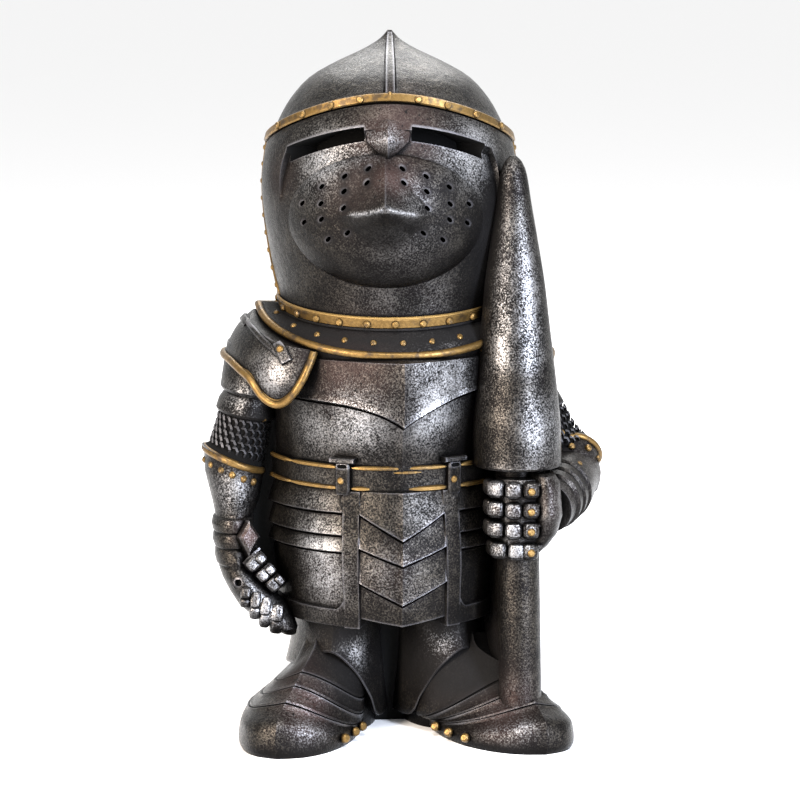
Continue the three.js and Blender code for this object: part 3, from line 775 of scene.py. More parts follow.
def belt_straps():
    """Upright straps over the belt, each with a rivet, a slotted top and a round tongue below."""
    solids, cuts = [], []
    z = marks([BELT_HIGH + 1.7, BELT_LOW - 1.4], 0.6)
    wide, narrow = strap(3.7, 1.5, 1.6, 0.35), strap(1.3, 1.9, 1.6, 0.3)
    for x in (-13.3, 12.3):
        angle = body_angle(x, z)
        path = body_point(angle, z, 1.2)
        solids.append(sweep(path, body_normal(angle, z), wide, blunt(len(z), 0.85), paint=SILVER))
        bar = body_angle(x + np.array([-2.6, 0, 2.6]), BELT_HIGH + 1.9)
        path = body_point(bar, BELT_HIGH + 1.9, 1.2)
        solids.append(sweep(path, body_normal(bar, BELT_HIGH), narrow, paint=SILVER))
        low = body_angle(x + 0.4, BELT_LOW - 3.6)
        tongue = body_point(low, BELT_LOW - 3.4, 0.9)
        solids.append(blob(tongue, (1.7, 1.3, 2.3), body_normal(low, BELT_LOW), square=0.75))
        at = body_angle(x - 0.3, BELT_LOW + 1.9)
        solids.append(rivet(body_point(at, BELT_LOW + 2.1, 2.45), body_normal(at, BELT_LOW), 0.95))
        top = body_angle(x, BELT_HIGH)
        slot = body_point(top, BELT_HIGH + 0.5, 2.9)
        cuts.append(blob(slot, (1.3, 1.3, 0.5), body_normal(top, BELT_HIGH), square=0.6, paint=BLACK))
    return solids, cuts


def trunk():
    straps, cuts = belt_straps()
    return made_of("trunk", [trunk_skin(), *belt_piping(), *straps], cuts)


# Shoulder plates: an egg-shaped cap trimmed by a tongue-shaped outline, the same back and front

SHOULDER = np.array([23, -1.5, 91.3])
SHOULDER_R = np.array([18.4, 26, 17.8])
TONGUE = curve([
    [-42, 95.2], [-40, 94.0], [-38, 92.7], [-36, 90.9], [-33.5, 87.3], [-31.5, 85.6],
    [-29.3, 85.2], [-27, 86.9], [-24, 91.5], [-21.6, 96.4], [-20.4, 99.2],
])
UPPER_LAME = [
    (-36.9, 5, 103.2), (-36.4, -2, 104), (-35.6, -8.4, 103.4), (-32.9, -18.8, 100.5), (-28.2, -25.2, 96.6),
]
SHORT_STRAP = [(-29.6, -23.2, 100.4), (-27.6, -25.6, 95.8)]
STRAP_RIVET = (-28.9, -24.0, 98.6)


def shoulder_edge():
    """Directions from the cap's centre to its lower edge, front then back."""
    x = np.r_[marks([-20.4, -36.4], 0.7), -39.8]
    z = TONGUE(x)[0]
    across, rise = x + SHOULDER[0], z - SHOULDER[2]
    left = np.maximum(0.02, 1 - (across / SHOULDER_R[0]) ** 2 - (rise / SHOULDER_R[2]) ** 2)
    front = stack(across, -SHOULDER_R[1] * np.sqrt(left), rise)
    outer = np.array([[-SHOULDER_R[0] * 0.985, 0, 3.1]])
    return along(np.vstack([front, outer, front[::-1] * [1, -1, 1]]), 0.9)


def on_shoulder(direction, side, grow=1.0, proud=0.0):
    reach = 1 / np.linalg.norm(direction / SHOULDER_R, axis=-1, keepdims=True)
    point = direction * (reach * grow)
    point = point + unit(point / SHOULDER_R ** 2) * proud
    return (SHOULDER * [-1, 1, 1] + point) * [-side, 1, 1]


def shoulder(side):
    """Shoulder plate with a rolled gold edge, a gold line inside it and an upper lame."""
    hub = SHOULDER * [side, 1, 1]

    def placed(points, flip, proud):
        way = (np.array(points) - SHOULDER * [-1, 1, 1]) * [1, flip, 1]
        return on_shoulder(way, side, proud=proud)

    edge = shoulder_edge()
    top = np.array([-2.0, 0, SHOULDER_R[2]])
    way = mix(top, edge[None], marks([0.04, 1], 0.045)[:, None, None])
    plate = sheet(on_shoulder(way, side), on_shoulder(way, side, 0.6))
    path = on_shoulder(mix(top, edge, 0.985), side, proud=0.35)
    normals = unit((path - hub) / SHOULDER_R ** 2)
    piping = sweep(path, normals, ROUND, 0.98 * blunt(len(path), 0.6))
    part = slice(len(edge) // 20, len(edge) // 3)
    inner = on_shoulder(mix(top, edge, 0.935), side, proud=0.05)[part]
    solids = [plate, piping, sweep(inner, normals[part], FINE, 0.3 * blunt(len(inner), 0.4))]
    # Lower edge of the upper lame, in front and behind, held by a short strap with a rivet
    for flip in (1, -1):
        lame = placed(along(UPPER_LAME, 0.9), flip, 0.15)
        out = unit((lame - hub) / SHOULDER_R ** 2)
        solids.append(sweep(lame, out, strap(1.5, 0.5, 0.8, 0.35), blunt(len(lame), 0.5), paint=SILVER))
        bar = placed(along(SHORT_STRAP, 0.6), flip, 0.1)
        solids.append(sweep(bar, unit(bar - hub), strap(2.8, 0.8, 0.8, 0.3), paint=SILVER))
        spot = placed(STRAP_RIVET, flip, 0.8)
        solids.append(rivet(spot, unit(spot - hub), 0.95))
    # The collar lies over the top of the plate
    turn = circle(60)
    block = [(-1.1, -9), (-1.1, 5), (14, 5), (14, -9)]
    over = loft([rim_point(turn, *place) for place in block], closed=True)
    return made_of(f"shoulder_{side}", solids, [over])


# Arms: level ovals [x, y, z, half width, half depth, lean, paint above], the lean tips an oval sideways

OVAL_SIDES = 44
OVAL_PITCH = 0.9
MAIL_PITCH = 1.9
MAIL_WIRE = 0.34


def ovals(rows):
    """Skin over level ovals; a row may leave out its paint, or both its lean and its paint."""
    table = np.array([[*row, *(0.0, SILVER)[len(row) - 5:]] for row in rows], float)
    turn = circle(OVAL_SIDES, 0.5)
    rings, bands = [], []
    for a, b in zip(table, table[1:]):
        n = max(1, int(np.ceil(abs(b[2] - a[2]) / OVAL_PITCH)))
        rings.extend([mix(a, b, k / n) for k in range(n)])
        bands.extend([int(a[6])] * n)
    loops = []
    for x, y, z, wide, deep, lean, _ in [*rings, table[-1]]:
        over = wide * np.cos(turn)
        loops.append(stack(x + over, y + deep * np.sin(turn), z + lean * over))
    return loft(loops, bands)


def mail(rows):
    """Hooked rings of mail in level courses [x, y, z, half width, half depth, lean] over a dark sleeve."""
    groups = [[] for _ in range(4)]
    bend = np.radians([-100, -50, 0, 50, 100])
    reach = 0.55 * MAIL_PITCH
    for k, (x, y, z, wide, deep, lean) in enumerate(rows):
        n = 2 * int(pi * (wide + deep) / MAIL_PITCH / 2)
        for i, turn in enumerate(circle(n, 0.5 * (k % 2))):
            out = unit([cos(turn) / wide, sin(turn) / deep, 0])
            side = np.array([-out[1], out[0], 0])
            centre = np.array([x + wide * cos(turn), y + deep * sin(turn), z + lean * wide * cos(turn)])
            arc = centre + np.outer(reach * np.cos(bend), side) + np.outer(reach * np.sin(bend), [0, 0, 1])
            arc += np.outer(0.25 * np.cos(bend), out)
            groups[2 * (k % 2) + i % 2].append(sweep(arc, out, FINE[::2], MAIL_WIRE, paint=SILVER))
    return [together(links) for links in groups]


def rim(row, radius):
    """Rolled gold rim round an oval row."""
    x, y, z, wide, deep, lean = row
    turn = circle(48)
    over = wide * np.cos(turn)
    path = stack(x + over, y + deep * np.sin(turn), z + lean * over)
    return sweep(path, unit(stack(np.cos(turn) / wide, np.sin(turn) / deep, 0)), ROUND, radius, closed=True)


def rim_studs(row, drop, turns, proud, r):
    """Rivets below a rim."""
    x, y, z, wide, deep, lean = row
    studs = []
    for turn in np.radians(turns):
        over = (wide + proud) * cos(turn)
        place = (x + over, y + (deep + proud) * sin(turn), z - drop + lean * over)
        studs.append(rivet(place, (cos(turn) / wide, sin(turn) / deep, 0.1), r))
    return together(studs)


LEFT_RIM = [-39.3, -2.7, 68.4, 7.2, 9.6, -0.4]
HANGING_ARM = [
    [-31, -1, 98, 9.5, 13],
    [-34.2, -1.2, 90, 7.5, 10.6, -0.18],
    [-34.9, -1.4, 85.6, 7.5, 10.3, -0.18],
    [-34.9, -1.4, 84.9, 7.1, 9.9, -0.18],
    [-34.9, -1.4, 84.6, 6.5, 9.3, -0.18],
    [-35.6, -1.6, 82.6, 7.2, 9.9, -0.18],
    [-36, -1.7, 80.2, 7.6, 10.1, -0.18],
    [-36, -1.7, 79.6, 7.3, 9.8, -0.18],
    [-36.1, -1.7, 79.3, 6.2, 8.8, -0.18, BLACK],
    [-38, -2.2, 71, 6.6, 8.7, -0.3, BLACK],
    [-39.2, -2.7, 69.3, 7.2, 9.2, -0.4],
    [-39.3, -2.7, 69.0, 8.0, 10.0, -0.4],
    [-39.3, -2.7, 67.2, 7.5, 9.9, -0.4],
    [-39.4, -2.8, 65.4, 7.4, 9.8, -0.35],
    [-39.5, -3, 63.4, 7.2, 9.6, -0.3],
    [-39.2, -3.6, 60, 6.4, 8.8, -0.15],
    [-39.2, -4.2, 57, 5.5, 8.1],
    [-39.3, -4.6, 55.2, 5.1, 7.7],
    [-39.6, -5.2, 54.7, 4.7, 7.3],
    [-39.8, -5.6, 54.2, 5.1, 7.7],
    [-40, -5.8, 52.8, 5.3, 7.9],
    [-40, -6, 51.2, 5.0, 7.6],
    [-40, -6, 50.7, 4.6, 7.2],
    [-40, -6.1, 50.2, 4.9, 7.5],
    [-40, -6.2, 48.8, 5.1, 7.7],
    [-39.9, -6.4, 47.3, 4.8, 7.4],
    [-39.9, -6.4, 46.8, 4.4, 7],
    [-39.8, -6.5, 46.3, 4.7, 7.3],
    [-39.7, -6.6, 44.6, 4.9, 7.5],
    [-39.5, -7, 42.9, 4.7, 7.3],
    [-39.3, -7.2, 42.4, 4.3, 6.9],
    [-39.0, -7.6, 41.8, 4.6, 7.2],
    [-37.9, -8.6, 39.6, 5.0, 7.4],
    [-35.4, -9.8, 36, 5.7, 7.2],
    [-32.8, -10.8, 32.6, 6.1, 6.6],
    [-30.2, -11.6, 29.6, 5.2, 6],
    [-27.8, -12.2, 27, 3.6, 5],
    [-26.4, -12.4, 25.2, 1.8, 3.2],
]
HANGING_MAIL = [
    [-36.35, -1.75, 77.9, 6.5, 9.0, -0.19],
    [-36.75, -1.85, 76.1, 6.55, 9.0, -0.21],
    [-37.2, -2.0, 74.3, 6.65, 9.0, -0.24],
    [-37.65, -2.1, 72.5, 6.7, 8.95, -0.27],
    [-38.05, -2.25, 70.9, 6.8, 8.9, -0.3],
]
# Joints of the thumb and curled fingers: across, up, half width, half or whole length
THUMB = [(-34.9, 44.0, 2.9, 1.75), (-32.5, 41.1, 2.7, 1.7), (-30.2, 38.4, 2.4, 1.9)]
FINGERS = [
    (-37.4, 35.5, 1.4, 2.4), (-35.0, 33.3, 1.45, 3.4), (-32.5, 31.5, 1.5, 3.9), (-29.6, 29.7, 1.8, 3.7),
]


def hanging_arm():
    """Arm at the side: two lames, mail, an elbow plate with a gold rim, cuffs and a curled hand."""
    solids = [
        ovals(HANGING_ARM),
        rim(LEFT_RIM, 0.95),
        rim_studs(LEFT_RIM, 2.9, [150, 185, 215, 240, 262, 284, 306, 20, 60, 105], 0.12, 0.9),
        rivet((-32.2, -9.3, 79.6), (0.45, -1, 0.1), 1.0),
        *mail(HANGING_MAIL),
    ]
    # Diamond plate at the root of the thumb, and the thumb's three joints
    solids.append(diamond((-36.4, -14.6, 50.0), (2.7, 4.4), (0.35, -1, 0.1)))
    way = (-0.62, -0.1, 0.78)
    for x, z, wide, long in THUMB:
        solids.append(blob((x, -14.4, z), (wide, 2.2, long), (0.15, -1, 0.3), way, 0.55))
        spur = (x + 0.9, -15.0, z + 0.7)
        solids.append(blob(spur, (0.5 * wide, 2.2, 0.8 * long), (0.3, -1, 0.3), way, 0.6))
    thumb = along([(-36.2, -12, 47), (-34.6, -12.4, 43.4), (-32.2, -12.6, 40.6), (-30.6, -12.8, 39)], 1.5)
    solids.append(sweep(thumb, (0, -1, 0.3), ROUND, 2.0, paint=SILVER))
    cuff = along([(-37.6, -14.2, 43.6), (-36.0, -15.4, 45.6), (-33.8, -14.6, 47.4)], 0.7)
    solids.append(sweep(cuff, (0, -1, 0.2), strap(0.9, 0.4, 1.5, 0.2), paint=SILVER))
    # Back of the first finger, its knuckle with a hollow, and four curled fingers
    solids.append(blob((-39.4, -12.2, 43.2), (1.8, 2.2, 2.8), (-0.3, -1, 0), (-0.1, 0, 1), 0.7))
    solids.append(blob((-39.0, -13.6, 38.8), (2.0, 1.8, 1.9), (-0.2, -1, 0.1), square=0.8))
    hollow = blob((-39.3, -15.6, 39.0), (0.9, 1.6, 0.9), (-0.2, -1, 0.1), paint=BLACK)
    for x, z, wide, long in FINGERS:
        root, tip = (x, -15.8, z + 0.35 * long), (x - 0.2, -15.4, z - 0.45 * long)
        solids.append(blob(root, (wide, 2.2, 0.66 * long), (-0.1, -1, 0.3), (0.12, 0, 1), 0.62))
        solids.append(blob(tip, (wide, 2.1, 0.58 * long), (-0.1, -1, -0.4), (0.1, 0, 1), 0.62))
    # A web between the arm and the body, painted black as painted shade
    web = [stack([x, -22, -22, x], [-6, -5, 3, 1], z)
           for z, x in ((35, -31), (42, -36), (56, -38), (62, -36), (94, -30))]
    solids.append(loft(web, BLACK))
    return made_of("hanging_arm", solids, [hollow])


# Lance

LANCE_TOP = np.array([28.7, -21, 145.4])
LANCE_FOOT = np.array([29.9, -30, 6])


def lance_axis(z):
    share = (np.asarray(z, float) - LANCE_FOOT[2]) / (LANCE_TOP[2] - LANCE_FOOT[2])
    return LANCE_FOOT + share[..., None] * (LANCE_TOP - LANCE_FOOT)


def lance():
    """Long cone with a blunt tip above the fist, a plain shaft below, and the cast web behind."""
    radius = curve([
        [69.3, 10.9], [78, 10.9], [85.5, 10.4], [92.7, 9.7], [103.8, 8.5], [114.9, 7.3],
        [126, 5.6], [134.1, 4.3], [141.3, 3.2], [144, 2.1], [145.4, 0.7],
    ])
    turn = circle(72)
    around = stack(np.cos(turn), np.sin(turn), 0)
    z = np.r_[marks([69.9, 144], 1.6), 144.5, 145.0, 145.4]
    rings = [(69.3, 8), (69.3, 10.3), (69.45, 10.7), *zip(z, radius(z)[0])]
    cone = loft([lance_axis(h) + around * r for h, r in rings])
    shaft = loft([lance_axis(h) + around[::2] * 5.3 for h in marks([3, 74], 2.4)])
    # The upper web behind the cone is painted near-black as painted shade
    top = []
    for z, x, y in ((72, 13, -18), (95, 12, -17), (112, 12, -12), (132, 16, -9), (139, 17, -10)):
        ax, ay, _ = lance_axis(z)
        top.append([[ax - 2, ay - 2, z], [ax + 2, ay + 1, z], [x + 7, y + 15, z], [x, y + 13, z]])
    low = []
    for z in (4, 30, 60, 72):
        ax, ay, _ = lance_axis(z)
        low.append([[ax - 3.0, ay, z], [ax + 3, ay, z], [27, 2, z], [20, 2, z]])
    return made_of("lance", [cone, shaft, loft(top, WEB_SHADE), loft(low)])


# The other arm: elbow out, forearm forward, a fist round the shaft

LANCE_ARM = [
    [30, -1, 98, 9.5, 13],
    [33.6, -1.4, 90, 8.4, 10.5],
    [35.2, -1.7, 86, 8.0, 10],
    [35.4, -1.7, 85.6, 7.4, 9.4],
    [37.2, -2, 81.4, 7.9, 9.9],
    [37.3, -2, 81, 7.0, 9.0, 0, BLACK],
    [40.8, -2.8, 75, 6.6, 8.4, 0, BLACK],
    [43.6, -3.2, 71.7, 6.0, 7.6],
    [45.2, -3.6, 69.5, 6.6, 8.4],
    [45.9, -4, 68, 7.1, 8.9],
    [46.3, -4.4, 66, 7.6, 9.3],
    [46.2, -5.2, 63.6, 8.1, 9.6],
    [46.0, -6, 61.5, 8.0, 9.2],
    [45.8, -6.8, 59.4, 7.4, 8.5],
    [45.2, -7.6, 57.6, 6.0, 7.2],
    [44.4, -8.6, 55.8, 3.2, 4.4],
]
LANCE_MAIL = [
    [38.4, -2.2, 79.4, 6.9, 8.8, 0.0],
    [39.4, -2.5, 77.6, 6.8, 8.7, 0.0],
    [40.4, -2.7, 75.8, 6.8, 8.6, 0.0],
    [41.6, -2.9, 74.0, 6.9, 8.6, 0.0],
    [42.9, -3.1, 72.4, 7.1, 8.7, 0.0],
]
# Elbow cup, the way of its gold trim over it, and its rivets
CUP = np.array([46.0, -3.5, 66.6])
CUP_R = np.array([8.1, 10.1, 7.8])
CUP_TRIM = [
    (36, -9, 71), (40, -9.5, 72.2), (43.9, -9.4, 72.8), (47.9, -8.9, 73.4),
    (51.6, -8, 71.8), (53.6, -6, 69), (54.4, -3, 66), (54.4, 0.5, 64.4),
    (53.4, 3.8, 66), (50.6, 5, 69.6), (46, 5.4, 72), (43, 4.6, 72),
]
CUP_STUDS = [
    (42.0, -12, 70.6), (45.6, -12, 71.2), (50, -10.8, 70.4), (53, -8.3, 67.2), (54, -5.2, 63.4),
    (53.6, -6, 59.6), (54, 1.5, 61.6), (52, 6, 65.6), (47, 7, 69),
]
# Forearm: its root, and how far along and how thick each ring is
FOREARM = np.array([47.6, -6, 63.6])
FOREARM_RINGS = [
    (0, 6.5), (9.6, 7.6), (12.6, 7.7), (13, 7.4), (13.3, 6.9), (13.7, 7.2), (16.4, 7.3),
    (16.8, 7.0), (17.1, 6.5), (17.5, 6.8), (20.2, 6.9), (20.6, 6.6), (21, 6.1), (25, 5.8),
]
HAND_BACK = [
    [34.4, -31, 68.6, 2.2, 4.6],
    [34.8, -31.3, 68.0, 3.0, 5.6],
    [35.2, -31.6, 66, 3.8, 6.4],
    [35.6, -31.8, 58, 4.0, 6.8],
    [34.9, -31, 53.4, 3.6, 6.2],
    [33.4, -30.8, 50.4, 2.9, 5.4],
    [32.4, -30.6, 48.8, 2.2, 4.6],
]
PALM = [
    [29.4, -31.2, 67.2, 5.6, 4.8],
    [29.4, -31.2, 66.2, 6.2, 5.4],
    [29.4, -31.2, 52, 6.2, 5.4],
    [28.8, -31.2, 48.2, 5.0, 4.8],
    [28.6, -31.2, 47.4, 4.0, 4.0],
]
# Joints of each finger from the knuckle to the tip: place, half sizes, facing
FIST = [
    ((30.9, -36.2), (2.25, 2.7, 2.25), (0.15, -1, 0.05)),
    ((26.9, -36.2), (2.2, 2.3, 2.2), (-0.15, -1, 0)),
    ((23.2, -33.8), (2.4, 2.4, 2.25), (-0.7, -1, 0)),
    ((21.9, -30.4), (2.2, 1.6, 2.1), (-1, -0.2, 0)),
]


def on_cup(points, proud):
    """Points laid on the elbow cup, and the directions out of it."""
    way = points - CUP
    skin = way / np.linalg.norm(way / CUP_R, axis=-1, keepdims=True)
    out = unit(skin / CUP_R ** 2)
    return CUP + skin + out * proud, out


def lance_arm():
    """Bent arm with mail, elbow plate, wrist rings, a back plate and a fist of jointed fingers."""
    path, out = on_cup(along(CUP_TRIM, 1.1), 0.1)
    solids = [
        ovals(LANCE_ARM),
        blob(CUP, CUP_R, square=1.0, sides=40),
        sweep(path, out, ROUND, 0.85 * blunt(len(path), 0.5)),
        together([rivet(*on_cup(spot, 0.15), 0.9) for spot in CUP_STUDS]),
        rivet((43.2, -10.6, 74.4), (0.4, -1, 0.3), 0.95),
        *mail(LANCE_MAIL),
    ]
    ahead, side, up = axes((-0.42, -0.88, -0.2), (0, 0, 1))
    turn = circle(OVAL_SIDES, 0.5)
    solids.append(loft([
        FOREARM + ahead * reach
        + np.outer(size * np.cos(turn), side) + np.outer((size + 0.6) * np.sin(turn), up)
        for reach, size in FOREARM_RINGS
    ]))
    for reach, lift in ((8.2, 5.0), (10.6, 6.4)):
        spot = FOREARM + ahead * reach + side * -4.2 + up * lift
        solids.append(rivet(spot, up - side * 0.6, 0.85))
    solids += [ovals(HAND_BACK), ovals(PALM)]
    # The little finger is tucked in a little
    for z, tuck in ((64.8, 0), (59.8, 0), (54.8, 0), (49.6, 0.8)):
        for k, ((x, y), size, facing) in enumerate(FIST):
            solids.append(blob((x + tuck * (1 if k else -0.3), y, z), size, facing))
        solids.append(rivet((30.9, -38.6, z), (0.1, -1, 0.1), 1.0))
        solids.append(blob((32.7, -36.4, z + 1.2), (1.5, 1.3, 0.7), (0.3, -1, 0.1), square=1.1, sides=8))
    return made_of("lance_arm", solids)


# Legs and armoured shoes, with the cast web between them

# Rows, from the sole up: station, reach outwards, inwards, to the toe and to the heel, the crest's
# place across, then heights at the crest, outside, inside and at the heel
LEFT_SHOE = (-1, (-22.8, -11.8), radians(14), [
    [0, 14.6, 14.6, 28.7, 26.6, 2.0, 0, 0, 0, 0],
    [0.25, 15, 15, 29.2, 27, 2.2, 1.2, 1.2, 1.0, 1.2],
    [0.6, 15, 15, 29.2, 27, 2.3, 4.2, 3.0, 1.8, 3],
    [1, 14.5, 15.1, 28.2, 26.8, 2.1, 8.2, 5.4, 2.3, 5],
    [1.5, 13.9, 15.2, 25.0, 26.2, 1.6, 10.2, 6.6, 2.6, 7.5],
    [2, 13.0, 15.3, 22.1, 25.4, 0.9, 12.0, 7.8, 2.9, 9.5],
    [3, 10.0, 15.5, 17.5, 24, -0.6, 15.2, 10.2, 5.1, 12.5],
    [4, 6.6, 15.6, 13.8, 22.4, -1.8, 17.8, 13.4, 9.0, 15.5],
    [5, 2.6, 15.6, 6.0, 19, -3.6, 21.9, 16.6, 14, 18.5],
    [6, -1, 12, 2.0, 14, -4, 25, 24, 24, 24],
])
RIGHT_SHOE = (1, (25.1, -13.2), radians(8), [
    [0, 15.9, 15.9, 30.9, 27.6, 4.6, 0, 0, 0, 0],
    [0.25, 16.4, 16.4, 31.4, 28, 4.8, 1.2, 1.2, 1.0, 1.2],
    [0.6, 16.4, 16.4, 31.4, 28, 4.8, 3.8, 2.6, 1.8, 3],
    [1, 16.0, 16.5, 30.0, 27.8, 4.9, 7.4, 4.4, 2.3, 5],
    [1.5, 15.2, 16.7, 26.2, 27.2, 4.8, 9.1, 5.4, 2.6, 7.5],
    [2, 13.9, 16.9, 22.9, 26.4, 4.5, 10.4, 6.5, 2.9, 9.5],
    [3, 11.0, 17.6, 17.8, 25, 4.0, 13.1, 8.6, 3.0, 12.5],
    [4, 7.6, 18.9, 13.4, 23.4, 3.1, 16.0, 11.2, 3.6, 15.5],
    [5, 3.4, 19.6, 6.0, 20, -5, 21.0, 16.2, 6, 18.5],
    [6, 0, 15, 2.0, 15, -6, 25, 24, 24, 24],
])
SHOE_LAMES = (2, 3, 4)
GROOVE = [(-0.14, 0.2), (-0.06, 0.3), (-0.025, 0.1), (0, -0.5), (0.03, -0.4), (0.06, 0.0), (0.16, 0.15)]


def shoe_ring(shoe, station, proud):
    """One closed ring of a shoe: an oval round the ankle, bent over the crest."""
    side, at, turn, rows = shoe
    outer, inner, toe, heel, crest, top, out_z, in_z, heel_z = curve(rows)(np.array(station, float))
    phase = circle(76)
    sway, ahead = np.sin(phase), np.cos(phase)
    grow = proud * min(1, station) * ramp(ahead, -0.12, 0.18)
    across = np.where(sway > 0, outer, inner) * np.sign(sway) * np.abs(sway) ** 0.87
    across += crest * np.maximum(0, ahead) ** 2 + grow * sway
    across *= 1 - 0.15 * np.maximum(0, -ahead) ** 0.8
    crease = tent(phase - 2 * pi * (phase > pi), 0.12)
    reach = np.where(ahead > 0, toe, heel) + grow
    reach = reach * np.sign(ahead) * np.abs(ahead) ** 0.87 + 0.5 * crease
    over = np.where(ahead > 0, top, heel_z)
    bow = np.abs(sway) ** np.where(ahead > 0, 1.4, 1.8)
    z = over + (np.where(sway > 0, out_z, in_z) - over) * bow + 0.6 * grow
    z += 0.4 * min(1, station) * crease
    c, s = cos(turn), sin(turn)
    x, y = at[0] + side * (across * c + reach * s), at[1] + across * s - reach * c
    return stack(x, y, np.maximum(z, 0))


def shoe(shape):
    """Nested lames round the ankle, a round toe cap and a thin sole."""
    stations = [(t, 0.0) for t in marks([0, 0.25, 0.6, 1, 1.5, 2, 3, 4, 5, 6], 0.14)
                if all(abs(t - lame) > 0.17 for lame in SHOE_LAMES)]
    stations += [(lame + shift, proud) for lame in SHOE_LAMES for shift, proud in GROOVE]
    return loft([shoe_ring(shape, t, proud) for t, proud in sorted(stations)])


# Lower edge of a shin guard: its height against the angle from the front, outwards positive
SHIN_EDGE = curve([
    [-180, 14], [-120, 4], [-60, 3], [-42, 4.2], [-36, 8], [-28, 11.4], [-18, 15.0], [-6, 18.2],
    [6, 20.6], [16, 21.6], [26, 21.2], [36, 20], [53, 17.6], [90, 15], [180, 14],
])
# Height, then half width, depth in front and depth behind
CALF = curve([
    [0, 11.4, 16.5, 8], [8, 11.8, 18, 9.6], [16, 10.8, 17.6, 12.8],
    [24, 10.0, 17.4, 14.2], [34, 9.6, 17, 14.6],
])
SHOE_STUDS = [(9.3, -23.6), (11.8, -29.5), (15.2, -35.0), (-8.7, -21.2), (-11.0, -26.0), (-14.1, -31.8)]


def calf_ring(side, z, grow):
    turn = circle(72) - pi
    wide, front, back = CALF(z)
    ridge = 1.3 * tent(turn - radians(16), 0.42)
    deep = np.where(np.cos(turn) > 0, front + ridge, back) + grow
    lean = 1 - 0.6 * (11.6 - wide)
    return stack(side * (13.2 + lean + (wide + grow) * np.sin(turn)), -1 - deep * np.cos(turn), z)


def calf(side):
    """Ankle, and over it a shin guard that flares to an arched lower edge."""
    ankle = loft([calf_ring(side, z, -0.6) for z in marks([0, 30], 2)])
    turn = np.degrees(circle(72) - pi)
    low = SHIN_EDGE(turn)[0]
    flare = 1.3 - 0.9 * ramp(turn, 0, 60)
    rows = [(mix(34, low + 0.5, share), 1.2 + flare * share ** 4) for share in marks([0, 0.35, 1], 0.09)]
    rows += [(low + 0.1, 1.1 + flare), (low, 0.6 + flare), (low + 0.5, 0.9), (low + 1.5, -1.5), (34, -3)]
    return [ankle, loft([calf_ring(side, z, grow) for z, grow in rows])]


def legs():
    """Both shoes with their shin guards and rivets, and the web between them."""
    solids = []
    for shape in (LEFT_SHOE, RIGHT_SHOE):
        solids += [shoe(shape), *calf(shape[0])]
    solids += [rivet((x, y, 2.6), (-0.5 * np.sign(x), -0.8, 0.3), 1.15) for x, y in SHOE_STUDS]
    # The web between the legs is painted black as painted shade
    web = [stack([1.2 - w, 1.2 + w, 1.2 + w, 1.2 - w], [-6, -6, 3, 3], z)
           for z, w in ((0, 6.6), (4, 6), (34, 6))]
    return made_of("legs", [*solids, loft(web, BLACK)])


# Materials

def linear(hex_colour):
    """sRGB hex as linear RGBA."""
    channels = [int(hex_colour[i:i + 2], 16) / 255 for i in (1, 3, 5)]
    return [c / 12.92 if c <= 0.04045 else ((c + 0.055) / 1.055) ** 2.4 for c in channels] + [1.0]


def node(tree, kind, links=None, **settings):
    """Adds a node; settings are its attributes, links name its inputs with a value or another output."""
    made = tree.nodes.new("ShaderNode" + kind)
    for name, value in settings.items():
        setattr(made, name, value)
    for name, value in (links or {}).items():
        if isinstance(value, bpy.types.NodeSocket):
            tree.links.new(value, made.inputs[name])
        else:
            made.inputs[name].default_value = value
    return made


UNDERCOAT = "#100f0f"
# Near-black for painted shade, and for black left in the hollows
SHADE_AND_WASH_BLACK = "#0c0b0b"


